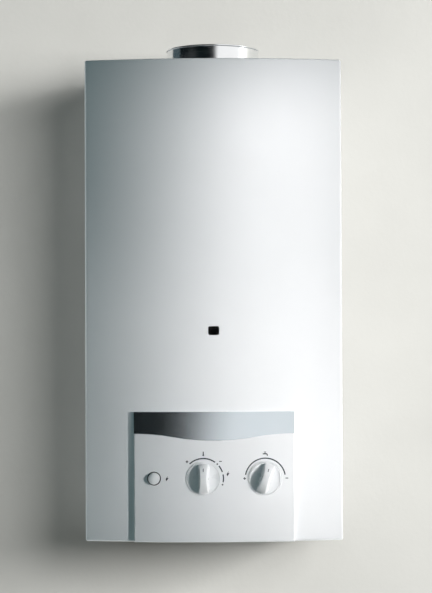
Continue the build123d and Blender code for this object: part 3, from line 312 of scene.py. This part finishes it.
def nitrileRubber():
    # black nitrile with a bloom of talc
    material, tree, shader, coords = newFinish("nitrileRubber", IOR=1.52)
    mottle(tree, shader, coords, 6, "#1C1C1B", "#31312F")
    roughen(tree, shader, coords, 3, 0.66, 0.82)
    grain(tree, shader, coords, 0.9, 0.03)
    return material


def printedInk():
    # pad-printed ink: dark slate, matt, a little thin at its edges
    material, tree, shader, coords = newFinish("printedInk", IOR=1.5)
    mottle(tree, shader, coords, 2.5, "#27343A", "#333F45")
    roughen(tree, shader, coords, 2, 0.45, 0.6)
    grain(tree, shader, coords, 0.7, 0.004)
    return material


finishes = {
    "casing_enamel": powderCoat(),
    "fascia_plastic": mouldedAbs(),
    "knob_plastic": polishedAbs(),
    "band_silver": metallisedFilm(),
    "spring_steel": drawnSpringWire(),
    "zinc_plated_steel": zincPlate(),
    "galvanised_sheet": galvanisedSheet(),
    "polished_aluminium": spunAluminium(),
    "copper": drawnCopper(),
    "stainless_steel": stainlessSheet(),
    "aluminised_pipe": aluminisedTube(),
    "brass": forgedBrass(),
    "cast_aluminium": castAluminium(),
    "ceramic": glazedCeramic(),
    "black_plastic": glassFilledNylon(),
    "rubber": nitrileRubber(),
}
ink = printedInk()
for node in nodes.values():
    for place in node.material_slots:
        place.material = finishes[place.material.name.split(".")[0]]
print("materials:", len(finishes) + 1)


# small helpers for the pieces
def makePiece(name, bm, material, body, smooth=True):
    bmesh.ops.recalc_face_normals(bm, faces=bm.faces)
    mesh = bpy.data.meshes.new(name)
    bm.to_mesh(mesh)
    bm.free()
    mesh.polygons.foreach_set("use_smooth", [smooth] * len(mesh.polygons))
    piece = bpy.data.objects.new(name, mesh)
    bpy.context.scene.collection.objects.link(piece)
    mesh.materials.append(material)
    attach(piece, body)
    return piece


def faceOf(node):
    # a node's surface, for laying marks on
    mesh = nodes[node].data
    points = [v.co.copy() for v in mesh.vertices]
    return BVHTree.FromPolygons(points, [tuple(p.vertices) for p in mesh.polygons])


inFront = -400.0  # a place in front of everything


def ontoFace(tree, x, z, lift):
    # the point of the front face at that x and z (millimetres), raised by lift
    spot, normal = tree.ray_cast(Vector((x, inFront, z)) * mm, Vector((0, 1, 0)))[:2]
    return spot + normal * lift * mm


# printed dial marks on the fascia: millimetres, and degrees clockwise from the top
dialMarks = {
    "level": -464.0,
    "powerX": -13.0,
    "waterX": 61.0,
    "buttonX": -72.0,
    "radius": 24.0,
    "line": 1.5,
    "arcStep": 4,
    "dot": 1.0,
    "dotSides": 20,
    "signReach": 1.6,
    "signLine": 1.0,
    "inkHeight": 0.06,
    "inkRoot": 0.05,
    "powerArcs": ((-43, 36), (51, 71), (78, 100.6)),
    "powerDots": (44, 107.5),
    "waterArc": (-80, 80),
    # radius and angle of each small sign
    "powerPlus": (28, -44),
    "powerMinus": (29, 45),
    "powerSpark": (30, 79),
    "powerBulb": (27.9, 0),
    "waterPlus": (24.7, -90),
    "waterMinus": (25.8, 90),
    "waterTap": (29.2, 0),
    "bulb": 1.05,
    "tubeRise": 2.5,
    "tubeHalf": (0.62, 1.75),
    "buttonSparkX": 15.7,
}


def inkPatch(bm, tree, outline):
    # a flat closed outline laid on the face, with a hair of thickness
    high = [bm.verts.new(ontoFace(tree, x, z, dialMarks["inkHeight"])) for x, z in outline]
    low = [bm.verts.new(ontoFace(tree, x, z, -dialMarks["inkRoot"])) for x, z in outline]
    count = len(outline)
    for i in range(count):
        j = (i + 1) % count
        bm.faces.new((high[i], high[j], low[j], low[i]))
    lid = bm.faces.new(high)
    bottom = bm.faces.new(list(reversed(low)))
    bmesh.ops.triangulate(bm, faces=[lid, bottom])


def polar(centre, radius, degrees):
    # the point at that radius and angle from a dial's centre
    turn = math.radians(degrees)
    return centre[0] + radius * math.sin(turn), centre[1] + radius * math.cos(turn)


def inkArc(bm, tree, centre, start, end):
    steps = max(2, round((end - start) / dialMarks["arcStep"]))
    angles = [start + (end - start) * i / steps for i in range(steps + 1)]
    half = dialMarks["line"] / 2
    for a, b in zip(angles, angles[1:]):
        inkPatch(
            bm,
            tree,
            [
                polar(centre, dialMarks["radius"] - half, a),
                polar(centre, dialMarks["radius"] + half, a),
                polar(centre, dialMarks["radius"] + half, b),
                polar(centre, dialMarks["radius"] - half, b),
            ],
        )


def inkDot(bm, tree, centre, radius):
    sides = dialMarks["dotSides"]
    inkPatch(bm, tree, [polar(centre, radius, 360 * i / sides) for i in range(sides)])


def inkBar(bm, tree, centre, halfWide, halfHigh):
    x, z = centre
    inkPatch(
        bm,
        tree,
        [
            (x - halfWide, z - halfHigh),
            (x + halfWide, z - halfHigh),
            (x + halfWide, z + halfHigh),
            (x - halfWide, z + halfHigh),
        ],
    )


def inkSign(bm, tree, centre, plus):
    reach, line = dialMarks["signReach"], dialMarks["signLine"] / 2
    inkBar(bm, tree, centre, reach, line)
    if plus:
        inkBar(bm, tree, (centre[0], centre[1] + (reach + line) / 2), line, (reach - line) / 2)
        inkBar(bm, tree, (centre[0], centre[1] - (reach + line) / 2), line, (reach - line) / 2)


# outlines of the small pictures, from their own centres
sparkShape = [(0.9, 3.2), (-1.7, -0.4), (-0.2, -0.4), (-0.9, -3.2), (1.7, 0.75), (0.2, 0.75)]
tapBody = [(-3.0, -0.55), (-3.0, 0.65), (-0.2, 0.85), (1.5, 0.75), (2.7, 0.0), (3.1, -1.2), (3.1, -2.4)]
tapBody += [(1.9, -2.4), (1.9, -1.4), (1.3, -0.65)]
tapHandle = [(-1.6, 1.9), (-1.6, 2.6), (1.0, 2.6), (1.0, 1.9)]
tapStem = [(-0.65, 0.75), (-0.65, 1.9), (0.05, 1.9), (0.05, 0.8)]


def inkShape(bm, tree, centre, outline):
    inkPatch(bm, tree, [(centre[0] + x, centre[1] + z) for x, z in outline])


def buildDialMarks():
    marks = dialMarks
    tree = faceOf("control_fascia")
    bm = bmesh.new()
    power = (marks["powerX"], marks["level"])
    water = (marks["waterX"], marks["level"])
    for start, end in marks["powerArcs"]:
        inkArc(bm, tree, power, start, end)
    for angle in marks["powerDots"]:
        inkDot(bm, tree, polar(power, marks["radius"], angle), marks["dot"])
    inkSign(bm, tree, polar(power, *marks["powerPlus"]), True)
    inkSign(bm, tree, polar(power, *marks["powerMinus"]), False)
    inkShape(bm, tree, polar(power, *marks["powerSpark"]), sparkShape)
    inkArc(bm, tree, water, *marks["waterArc"])
    inkSign(bm, tree, polar(water, *marks["waterPlus"]), True)
    inkSign(bm, tree, polar(water, *marks["waterMinus"]), False)
    for outline in (tapBody, tapHandle, tapStem):
        inkShape(bm, tree, polar(water, *marks["waterTap"]), outline)
    bulb = polar(power, *marks["powerBulb"])
    inkDot(bm, tree, bulb, marks["bulb"])
    inkBar(bm, tree, (bulb[0], bulb[1] + marks["tubeRise"]), *marks["tubeHalf"])
    inkShape(bm, tree, (marks["buttonX"] + marks["buttonSparkX"], marks["level"]), sparkShape)
    return makePiece("dialMarks", bm, ink, "front_cover", smooth=False)


buildDialMarks()


# pointer lines on the knobs
pointers = {"inner": 8.9, "outer": 12.6, "width": 0.75, "steps": 4, "restTurn": 19.0}


def buildPointer(name, knob, x, turn, body):
    tree = faceOf(knob)
    centre = (x, dialMarks["level"])
    inner, outer, steps = pointers["inner"], pointers["outer"], pointers["steps"]
    across = math.degrees(pointers["width"] / 2 / outer)
    radii = [inner + (outer - inner) * i / steps for i in range(steps + 1)]
    bm = bmesh.new()
    for a, b in zip(radii, radii[1:]):
        inkPatch(
            bm,
            tree,
            [
                polar(centre, radius, turn + side * across * outer / radius)
                for radius, side in ((a, -1), (b, -1), (b, 1), (a, 1))
            ],
        )
    return makePiece(name, bm, ink, body, smooth=False)


powerX, waterX, restTurn = dialMarks["powerX"], dialMarks["waterX"], pointers["restTurn"]
buildPointer("powerPointer", "power_knob", powerX, 0, "power_dial")
buildPointer("waterPointer", "temperature_knob", waterX, restTurn, "temperature_dial")
print("printed marks done")


# knobs as moulded: the disc sits low in a lipped hole, and only the grip stands out
knobShape = {
    "gripHeight": 6.5,  # from the rim to the front of the grip, as packed
    "drop": 6.0,  # how far the disc goes back
    "from": -0.3,  # the disc lies between these two depths behind the rim
    "to": 3.2,
    "core": 3.6,  # radius of the hub, which stays
    "face": 17.7,  # radius of the hollowed face
    "foot": (0.4, 0.8),  # depths of the grip's foot
    "flare": 2.6,  # how far the grip's flanks spread at their foot
    "flareEnd": 3,  # the spread fades out over this width at the grip's ends
    "endFall": 4.6,  # how far the grip's ends slope down
    "lipInner": 19.5,
    "lipOuter": 20.5,
    "lipHeight": 1.3,
    "lipRoot": -1.0,
    "lipSteps": 6,
    "lipSides": 96,
}
creaseAngle = 0.6  # radians: sharper edges stay sharp


def mergedCopy(node):
    # a node's mesh is loose triangles: a copy of it, merged
    bm = bmesh.new()
    bm.from_mesh(nodes[node].data)
    bmesh.ops.remove_doubles(bm, verts=bm.verts, dist=1e-6)
    return bm


def keepCreases(bm):
    for edge in bm.edges:
        edge.smooth = len(edge.link_faces) == 2 and edge.calc_face_angle() < creaseAngle


def buildKnob(node, x, turn, body):
    shape = knobShape
    bm = mergedCopy(node)
    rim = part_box(node)[0][1] / mm + shape["gripHeight"]
    along = Vector((math.sin(math.radians(turn)), math.cos(math.radians(turn))))
    across = Vector((along.y, -along.x))
    footTop, footEnd = shape["foot"]
    for v in bm.verts:
        depth = v.co.y / mm - rim
        spot = Vector((v.co.x / mm - x, v.co.z / mm - dialMarks["level"]))
        reach = spot.length
        if depth <= shape["from"]:
            v.co.y += shape["endFall"] * mm * (abs(spot.dot(along)) / shape["face"]) ** 3
        elif depth < shape["to"] and reach > shape["core"]:
            v.co.y += shape["drop"] * mm
            if footTop < depth < footEnd:
                spread = shape["flare"] * max(0, min(1, (shape["face"] - reach) / shape["flareEnd"]))
                shift = across * math.copysign(spread, spot.dot(across))
                v.co.x += shift.x * mm
                v.co.z += shift.y * mm
    keepCreases(bm)
    piece = makePiece(node + "_moulded", bm, finishes["knob_plastic"], body)
    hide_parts(node)


def buildLip(name, x):
    # thin raised lip round a knob's hole, on the curved face
    shape = knobShape
    tree = faceOf("control_fascia")
    centre = (x, dialMarks["level"])
    inner, outer, height = shape["lipInner"], shape["lipOuter"], shape["lipHeight"]
    half, steps, sides = (outer - inner) / 2, shape["lipSteps"], shape["lipSides"]
    turns = [math.pi * k / steps for k in range(steps + 1)]
    crown = [(half - half * math.cos(t), height - half + half * math.sin(t)) for t in turns]
    profile = [(0, shape["lipRoot"]), *crown, (outer - inner, shape["lipRoot"])]
    bm = bmesh.new()
    rings = []
    for i in range(sides):
        foot = ontoFace(tree, *polar(centre, outer, 360 * i / sides), 0)
        ring = []
        for out, rise in profile:
            px, pz = polar(centre, inner + out, 360 * i / sides)
            ring.append(bm.verts.new((px * mm, foot.y - rise * mm, pz * mm)))
        rings.append(ring)
    for first, second in zip(rings, rings[1:] + rings[:1]):
        for k in range(len(profile)):
            j = (k + 1) % len(profile)
            bm.faces.new((first[k], first[j], second[j], second[k]))
    makePiece(name, bm, finishes["fascia_plastic"], "front_cover")


# the silver film, a hair proud of the moulding that it is bonded to
film = {
    "proud": 0.12,
    "overTop": 0.25,
    "topLand": 0.05,  # points this close to the top are its edge
    "facing": 0.9,  # faces turned this much to the front lie on its arc
    "rounded": 0.15,  # and those turned this much are its rounded edges
}


def buildBand():
    bm = mergedCopy("fascia_band")
    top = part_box("fascia_band")[1][2]
    for v in bm.verts:
        v.co.y -= film["proud"] * mm
        if v.co.z > top - film["topLand"] * mm:
            v.co.z += film["overTop"] * mm
    keepCreases(bm)
    piece = makePiece("fascia_band_film", bm, finishes["band_silver"], "front_cover")
    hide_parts("fascia_band")
    mirrorEvenly(piece.data)


def mirrorEvenly(mesh):
    # the front is one upright arc about a line on x = 0, and its normals come from that arc
    front = {i for face in mesh.polygons if face.normal.y < -film["facing"] for i in face.vertices}
    near, far = (end(front, key=lambda i: abs(mesh.vertices[i].co.x)) for end in (min, max))
    (x1, y1), (x2, y2) = (mesh.vertices[i].co.xy for i in (near, far))
    arcY = (x1**2 - x2**2 + y1**2 - y2**2) / (2 * (y1 - y2))
    normals = [(0.0, 0.0, 0.0)] * len(mesh.loops)
    for face in mesh.polygons:
        if face.normal.y < -film["rounded"]:
            for loop in face.loop_indices:
                spot = mesh.vertices[mesh.loops[loop].vertex_index].co
                normals[loop] = Vector((spot.x, spot.y - arcY, 0.0)).normalized()
    mesh.normals_split_custom_set(normals)


buildBand()
buildKnob("power_knob", powerX, 0, "power_dial")
buildKnob("temperature_knob", waterX, restTurn, "temperature_dial")
buildLip("powerLip", powerX)
buildLip("waterLip", waterX)
print("band and knobs done")


# pieces grown by Geometry Nodes: the tree runs on an empty mesh, and its result is kept as plain mesh
def newTree(name, sockets):
    # a tree with named inputs
    tree = bpy.data.node_groups.new(name, "GeometryNodeTree")
    for label, kind in sockets.items():
        tree.interface.new_socket(label, in_out="INPUT", socket_type="NodeSocket" + kind)
    tree.interface.new_socket("Geometry", in_out="OUTPUT", socket_type="NodeSocketGeometry")
    return tree, addNode(tree, "NodeGroupInput").outputs


def endTree(tree, given, geometry):
    # every tree ends the same way: real geometry, then its material
    real = addNode(tree, "GeometryNodeRealizeInstances", links={"Geometry": geometry})
    finish = addNode(
        tree,
        "GeometryNodeSetMaterial",
        links={"Geometry": real.outputs["Geometry"], "Material": given["Material"]},
    )
    addNode(tree, "NodeGroupOutput", links={"Geometry": finish.outputs["Geometry"]})


def growPiece(name, tree, sizes, material, body):
    piece = bpy.data.objects.new(name, bpy.data.meshes.new(name))
    bpy.context.scene.collection.objects.link(piece)
    grower = piece.modifiers.new("grower", "NODES")
    grower.node_group = tree
    sizes = {**sizes, "Material": material}
    for socket in tree.interface.items_tree:
        if socket.in_out == "INPUT":
            grower[socket.identifier] = sizes[socket.name]
    evaluated = piece.evaluated_get(bpy.context.evaluated_depsgraph_get())
    mesh = bpy.data.meshes.new_from_object(evaluated)
    piece.modifiers.clear()
    piece.data = mesh
    mesh.name = name
    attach(piece, body)
    return piece


def coilTree():
    # round wire wound along a helix, from Start in the direction Axis
    tree, given = newTree(
        "coil",
        {
            "Start": "Vector",
            "Axis": "Vector",
            "Radius": "Float",
            "Length": "Float",
            "Wire": "Float",
            "Turns": "Float",
            "Steps": "Int",
            "Material": "Material",
        },
    )
    helix = addNode(
        tree,
        "GeometryNodeCurveSpiral",
        links={
            "Resolution": given["Steps"],
            "Rotations": given["Turns"],
            "Start Radius": given["Radius"],
            "End Radius": given["Radius"],
            "Height": given["Length"],
        },
    )
    section = addNode(
        tree, "GeometryNodeCurvePrimitiveCircle", {"Resolution": 8}, {"Radius": given["Wire"]}
    )
    wound = addNode(
        tree,
        "GeometryNodeCurveToMesh",
        {"Fill Caps": True},
        {"Curve": helix.outputs["Curve"], "Profile Curve": section.outputs["Curve"]},
    )
    turned = addNode(tree, "FunctionNodeAlignRotationToVector", links={"Vector": given["Axis"]}, axis="Z")
    placed = addNode(
        tree,
        "GeometryNodeTransform",
        links={
            "Geometry": wound.outputs["Mesh"],
            "Translation": given["Start"],
            "Rotation": turned.outputs["Rotation"],
        },
    )
    endTree(tree, given, placed.outputs["Geometry"])
    return tree


def rowsTree():
    # thin plates in rows: Across of them along x, and Along of them along y
    tree, given = newTree(
        "rows",
        {
            "Plate": "Vector",
            "First": "Vector",
            "Across": "Int",
            "Step Across": "Float",
            "Along": "Int",
            "Step Along": "Float",
            "Material": "Material",
        },
    )
    plate = addNode(tree, "GeometryNodeMeshCube", links={"Size": given["Plate"]}).outputs["Mesh"]
    for axis, count, step, start in (
        ("X", "Across", "Step Across", None),
        ("Y", "Along", "Step Along", given["First"]),
    ):
        offset = addNode(tree, "ShaderNodeCombineXYZ", links={axis: given[step]})
        line = addNode(
            tree,
            "GeometryNodeMeshLine",
            links={"Count": given[count], "Offset": offset.outputs["Vector"]},
            mode="OFFSET",
        )
        if start:
            tree.links.new(start, line.inputs["Start Location"])
        copies = addNode(
            tree, "GeometryNodeInstanceOnPoints", links={"Points": line.outputs["Mesh"], "Instance": plate}
        )
        plate = copies.outputs["Instances"]
    endTree(tree, given, plate)
    return tree


coils = coilTree()
rows = rowsTree()


def growCoil(name, start, axis, outer, length, wire, turns, steps, slot):
    # millimetres; the coil starts at start, and outer is its outside radius
    sizes = {
        "Start": (Vector(start) + Vector(axis) * wire) * mm,
        "Axis": axis,
        "Radius": (outer - wire) * mm,
        "Length": (length - 2 * wire) * mm,
        "Wire": wire * mm,
        "Turns": float(turns),
        "Steps": steps,
    }
    piece = growPiece(name, coils, sizes, finishes[slot], "appliance")
    piece.data.polygons.foreach_set("use_smooth", [True] * len(piece.data.polygons))
    return piece


def growRows(name, plate, first, across, stepAcross, along, stepAlong, slot):
    sizes = {
        "Plate": Vector(plate) * mm,
        "First": Vector(first) * mm,
        "Across": across,
        "Step Across": stepAcross * mm,
        "Along": along,
        "Step Along": stepAlong * mm,
    }
    return growPiece(name, rows, sizes, finishes[slot], "appliance")


# each spring: start, direction, outer radius, length, wire radius, turns, joint and what is left at its limit
springs = {
    "plunger_spring": ((-13, -181.1, -464), (0, -1, 0), 7.0, 14.6, 0.55, 6, "gas_plunger_press", 0.727),
    "disc_spring": ((-4.9, -178, -464), (1, 0, 0), 6.5, 9.8, 0.5, 5, "water_rod_slide", 0.695),
    "piezo_spring": ((-72, -213.25, -464), (0, -1, 0), 6.0, 7.6, 0.25, 3, "igniter_press", 0.22),
}
springSteps = 28
for node, (start, axis, outer, length, wire, turns, joint, left) in springs.items():
    coil = growCoil(node + "_coil", start, axis, outer, length, wire, turns, springSteps, "spring_steel")
    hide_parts(node)
    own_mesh(coil)

# rolled threads of the three unions: rounded ridges; each pipe's place along x
unionThread = {
    "hot_outlet_pipe": -100,
    "gas_inlet_pipe": -13,
    "cold_inlet_pipe": 100,
}
threadShape = {
    "y": -32.0,
    "low": -554.9,
    "length": 14.0,
    "pitch": 1.81,
    "radius": 10.78,
    "ridge": 0.48,
    "steps": 40,
}
for node, x in unionThread.items():
    shape = threadShape
    slot = next(name for name, finish in finishes.items() if finish == nodes[node].material_slots[0].material)
    growCoil(
        node + "_thread",
        (x, shape["y"], shape["low"]),
        (0, 0, 1),
        shape["radius"],
        shape["length"],
        shape["ridge"],
        (shape["length"] - 2 * shape["ridge"]) / shape["pitch"],
        shape["steps"],
        slot,
    )

chamberY = -121.0  # middle of the exchanger and burner, from the wall

# the exchanger's thin fins, closer than the eight that the CAD carries
finPack = {"plate": (0.5, 144.0, 44.5), "first": -101.5, "count": 60, "step": 3.44, "z": -98.0}
growRows(
    "exchangerFins",
    finPack["plate"],
    (finPack["first"], chamberY, finPack["z"]),
    finPack["count"],
    finPack["step"],
    1,
    0.0,
    "copper",
)

# pressed ridges along the top of the burner's blades: the gaps between them are the flame ports
portRidge = {"plate": (7.4, 2.6, 1.6), "blades": 10, "pitch": 18.0, "count": 34, "step": 4.2, "z": -302.2}
growRows(
    "burnerPorts",
    portRidge["plate"],
    (
        -portRidge["pitch"] * (portRidge["blades"] - 1) / 2,
        chamberY - portRidge["step"] * (portRidge["count"] - 1) / 2,
        portRidge["z"],
    ),
    portRidge["blades"],
    portRidge["pitch"],
    portRidge["count"],
    portRidge["step"],
    "stainless_steel",
)
print("springs, threads, fins and ports done")


# wall, floor and studio
studio = {
    "wallWidth": 6.0,
    "wallTop": 2.4,
    "floorLevel": -1.25,
    "floorReach": 4.0,
    "wallGap": 0.0005,
    "opening": (0.150, -0.535, 0.035),  # behind the back plate, so that its back isn't dark
}


def plaster():
    # painted plaster: pale warm grey with trowel marks and fine sand grain
    material, tree, shader, coords = newFinish("paintedPlaster", IOR=1.45)
    mottle(tree, shader, coords, 160, "#C3C2BD", "#C8C7C2", detail=6.0)
    shader.inputs["Roughness"].default_value = 0.9
    grain(tree, shader, coords, 7, 0.35, strength=0.55, detail=6.0)
    geometry = addNode(tree, "ShaderNodeNewGeometry")
    clear = addNode(tree, "ShaderNodeBsdfTransparent")
    choose = addNode(tree, "ShaderNodeMixShader", links={"Fac": geometry.outputs["Backfacing"]})
    tree.links.new(shader.outputs["BSDF"], choose.inputs[1])
    tree.links.new(clear.outputs["BSDF"], choose.inputs[2])
    tree.links.new(choose.outputs["Shader"], tree.nodes["Material Output"].inputs["Surface"])
    return material


def stagePlane(name, corners, material, shadows=True, faces=((0, 1, 2, 3),)):
    mesh = bpy.data.meshes.new(name)
    mesh.from_pydata(corners, [], faces)
    mesh.materials.append(material)
    plane = bpy.data.objects.new(name, mesh)
    bpy.context.scene.collection.objects.link(plane)
    plane.visible_shadow = shadows
    return plane


half, top, low, gap = (
    studio["wallWidth"] / 2,
    studio["wallTop"],
    studio["floorLevel"],
    studio["wallGap"],
)
wallFinish = plaster()
wall = stagePlane(
    "wall",
    [
        (x * sign, gap, z)
        for x, bottom, lid in ((half, low, top), studio["opening"])
        for sign, z in ((-1, bottom), (1, bottom), (1, lid), (-1, lid))
    ],
    wallFinish,
    shadows=False,
    faces=[(0, 1, 5, 4), (1, 2, 6, 5), (2, 3, 7, 6), (3, 0, 4, 7)],
)
wall.visible_diffuse = False
reach = -studio["floorReach"]
stagePlane(
    "floor",
    [(-half, reach, low), (half, reach, low), (half, gap, low), (-half, gap, low)],
    wallFinish,
)


# cards that stand round the object, seen only in reflections; each path is on the floor plan, in metres
cards = {
    "path": [(-1.7, -1.78), (1.0, -3.6)],
    "height": (-2.5, 2.5),
    "fluePath": [(-3.6, 0.0), (-3.6, -0.5), (-1.7, -1.78)],
    "flueHeight": (0.1, 2.5),
    "tint": "#1A2629",
    "glow": 0.3,
    "fadeAlong": (1, 0, -0.5),  # the black fades out towards the right, and lower down
    "fade": (-0.29, 0.56),
    "wallPath": [(-3.6, -0.03), (-0.25, -0.01)],  # shade on the wall beside the flue
    "wallHeight": (-0.2, 1.2),
    # painted shade: the dark grey that the card glows in, standing in for the wall in shadow as the flue
    # mirrors it
    "wallShadeColour": "#465459",
}


def darkCard():
    material = bpy.data.materials.new("blackCard")
    material.use_nodes = True
    tree = material.node_tree
    tree.nodes.clear()
    coords = addNode(tree, "ShaderNodeTexCoord")
    slant = addNode(
        tree,
        "ShaderNodeVectorMath",
        {1: cards["fadeAlong"]},
        {0: coords.outputs["Object"]},
        operation="DOT_PRODUCT",
    )
    fade = addNode(
        tree,
        "ShaderNodeMapRange",
        {"From Min": cards["fade"][0], "From Max": cards["fade"][1]},
        {"Value": slant.outputs["Value"]},
        interpolation_type="SMOOTHSTEP",
    )
    black = addNode(tree, "ShaderNodeEmission", {"Color": srgb(cards["tint"]), "Strength": cards["glow"]})
    clear = addNode(tree, "ShaderNodeBsdfTransparent")
    choose = addNode(tree, "ShaderNodeMixShader", links={"Fac": fade.outputs["Result"]})
    tree.links.new(black.outputs["Emission"], choose.inputs[1])
    tree.links.new(clear.outputs["BSDF"], choose.inputs[2])
    output = addNode(tree, "ShaderNodeOutputMaterial")
    tree.links.new(choose.outputs["Shader"], output.inputs["Surface"])
    return material


# painted shade: a card that glows in the shadowed wall's colour, seen only in reflections
def shadeCard():
    material = bpy.data.materials.new("shadeCard")
    material.use_nodes = True
    tree = material.node_tree
    tree.nodes.clear()
    glow = addNode(tree, "ShaderNodeEmission", {"Color": srgb(cards["wallShadeColour"]), "Strength": 1.0})
    output = addNode(tree, "ShaderNodeOutputMaterial")
    tree.links.new(glow.outputs["Emission"], output.inputs["Surface"])
    return material


def standCard(name, path, height, material):
    # upright panels along a path
    corners = [(x, y, z) for x, y in path for z in height]
    faces = [(2 * i, 2 * i + 2, 2 * i + 3, 2 * i + 1) for i in range(len(path) - 1)]
    mesh = bpy.data.meshes.new(name)
    mesh.from_pydata(corners, [], faces)
    mesh.materials.append(material)
    panel = bpy.data.objects.new(name, mesh)
    bpy.context.scene.collection.objects.link(panel)
    panel.visible_camera = panel.visible_diffuse = False
    panel.visible_transmission = panel.visible_shadow = False


black = darkCard()
standCard("blackCard", cards["path"], cards["height"], black)
standCard("blackCardFlue", cards["fluePath"], cards["flueHeight"], black)
standCard("shadeCard", cards["wallPath"], cards["wallHeight"], shadeCard())

# a dim cool room for the light, and white for what the camera and the metals see
world = bpy.data.worlds.new("studioWorld")
bpy.context.scene.world = world
world.use_nodes = True
room = {"tint": "#B0E2EA", "strength": 0.045}
sky = world.node_tree
sky.nodes.clear()
path = addNode(sky, "ShaderNodeLightPath")
seen = addNode(
    sky,
    "ShaderNodeMath",
    links={0: path.outputs["Is Camera Ray"], 1: path.outputs["Is Glossy Ray"]},
    operation="MAXIMUM",
)
seenThrough = addNode(
    sky,
    "ShaderNodeMath",
    links={0: seen.outputs["Value"], 1: path.outputs["Is Transmission Ray"]},
    operation="MAXIMUM",
)
dim = {"Color": srgb(room["tint"]), "Strength": room["strength"]}
ambient = addNode(sky, "ShaderNodeBackground", dim)
white = addNode(sky, "ShaderNodeBackground", {"Color": (1, 1, 1, 1), "Strength": 1.0})
pick = addNode(sky, "ShaderNodeMixShader", links={"Fac": seenThrough.outputs["Value"]})
sky.links.new(ambient.outputs["Background"], pick.inputs[1])
sky.links.new(white.outputs["Background"], pick.inputs[2])
end = addNode(sky, "ShaderNodeOutputWorld")
sky.links.new(pick.outputs["Shader"], end.inputs["Surface"])


def aim(obj, place, target):
    obj.location = place
    obj.rotation_euler = (Vector(target) - Vector(place)).to_track_quat("-Z", "Y").to_euler()


def addLamp(name, kind, place, target, watts, tint):
    lamp = bpy.data.lights.new(name, kind)
    lamp.energy = watts
    lamp.color = srgb(tint)[:3]
    obj = bpy.data.objects.new(name, lamp)
    bpy.context.scene.collection.objects.link(obj)
    aim(obj, place, target)
    return obj


def softbox(name, place, target, width, height, watts, tint="#FFFFFF", mirrored=False):
    obj = addLamp(name, "AREA", place, target, watts, tint)
    obj.data.shape = "RECTANGLE"
    obj.data.size, obj.data.size_y = width, height
    obj.visible_camera = False
    obj.visible_glossy = mirrored
    return obj


def spot(name, place, target, degrees, blend, watts, soft):
    obj = addLamp(name, "SPOT", place, target, watts, beamTint)
    obj.data.spot_size = math.radians(degrees)
    obj.data.spot_blend = blend
    obj.data.shadow_soft_size = soft
    obj.visible_glossy = False  # the beams shade the front and leave no bright spot in the metals
    return obj


middle = (0.0, -0.15, -0.25)
beamTint = "#FFF9F9"
# place, width, height, watts, tint, and whether the metals mirror it
softboxes = {
    "keyLight": ((3.87, -0.97, 0.25), 0.5, 0.5, 25, "#FFFFFF", True),
    "coolFill": ((-1.0, -3.2, 0.3), 1.2, 1.2, 4.6, "#45D2E6", False),
    "leftLight": ((-3.0, 0.9, -0.1), 0.6, 1.2, 54, "#FFFFFF", False),
    "backLight": ((0.5, 2.8, 1.6), 1.4, 1.4, 85, "#FFFFFF", False),
    "underLight": ((0.2, 1.2, -3.0), 1.2, 1.2, 60, "#FFFFFF", False),
}
# one wide beam from the right, whose edge falls across the casing
sideBeam = {
    "place": (2.4, -2.3, 0.15),
    "target": (1.2, -0.2, -0.30),
    "degrees": 40.3,
    "blend": 0.22,
    "watts": 240,
    "soft": 0.13,
}
# narrow beams down the middle: place, target x and z, degrees, watts
middleBeams = (
    ((1.6, -2.7, 0.1), 0.05, -0.03, 5.8, 242),
    ((1.6, -2.7, 0.1), 0.02, -0.05, 6.4, 98),
    ((1.6, -2.7, -0.1), 0.022, -0.25, 7.2, 258),
    ((2.4, -2.3, -0.2), 0.03, -0.49, 6.0, 106),
    ((2.4, -2.3, -0.2), 0.014, -0.46, 7.0, 226),
)
beamDepth, beamBlend, beamSoft = -0.2, 1.0, 0.1
# these light the wall alone, round the right of the casing, so that its shadow falls on the left
wallWashes = (((1.37, -3.9, 0.35), 78), ((3.2, -2.4, 0.35), 190))
washTarget, washSize = (0, 0, -0.25), 1.2

wallOnly = bpy.data.collections.new("wallOnly")
wallOnly.objects.link(wall)
notWall = bpy.data.collections.new("notWall")
notWall.objects.link(wall)
notWall.collection_objects[0].light_linking.link_state = "EXCLUDE"

onObject = [
    softbox(name, place, middle, width, height, watts, tint, mirrored)
    for name, (place, width, height, watts, tint, mirrored) in softboxes.items()
]
onObject.append(spot("sideBeam", **sideBeam))
for place, x, z, degrees, watts in middleBeams:
    target = (x, beamDepth, z)
    onObject.append(spot("middleBeam", place, target, degrees, beamBlend, watts, beamSoft))
for lamp in onObject:
    lamp.light_linking.receiver_collection = notWall
for place, watts in wallWashes:
    wash = softbox("wallWash", place, washTarget, washSize, washSize, watts)
    wash.light_linking.receiver_collection = wallOnly
print("studio done")


# the photograph's own view: from in front, a little below the middle
lens = {
    "focal": 112.9,
    "sensor": 36.0,
    "place": (0.0028, -2.45, -0.311),
    "pitch": 0.84,
    "roll": 0.22,
    "shiftY": 0.0448,
}
camera = bpy.data.cameras.new("camera")
camera.lens = lens["focal"]
camera.sensor_width = lens["sensor"]
camera.sensor_fit = "AUTO"
camera.shift_y = lens["shiftY"]
cameraObject = bpy.data.objects.new("camera", camera)
bpy.context.scene.collection.objects.link(cameraObject)
cameraObject.matrix_world = (
    Matrix.Translation(lens["place"])
    @ Matrix.Rotation(math.radians(90 + lens["pitch"]), 4, "X")
    @ Matrix.Rotation(math.radians(-lens["roll"]), 4, "Z")
)
bpy.context.scene.camera = cameraObject
print("camera done")

bpy.context.scene.view_settings.view_transform = "Standard"
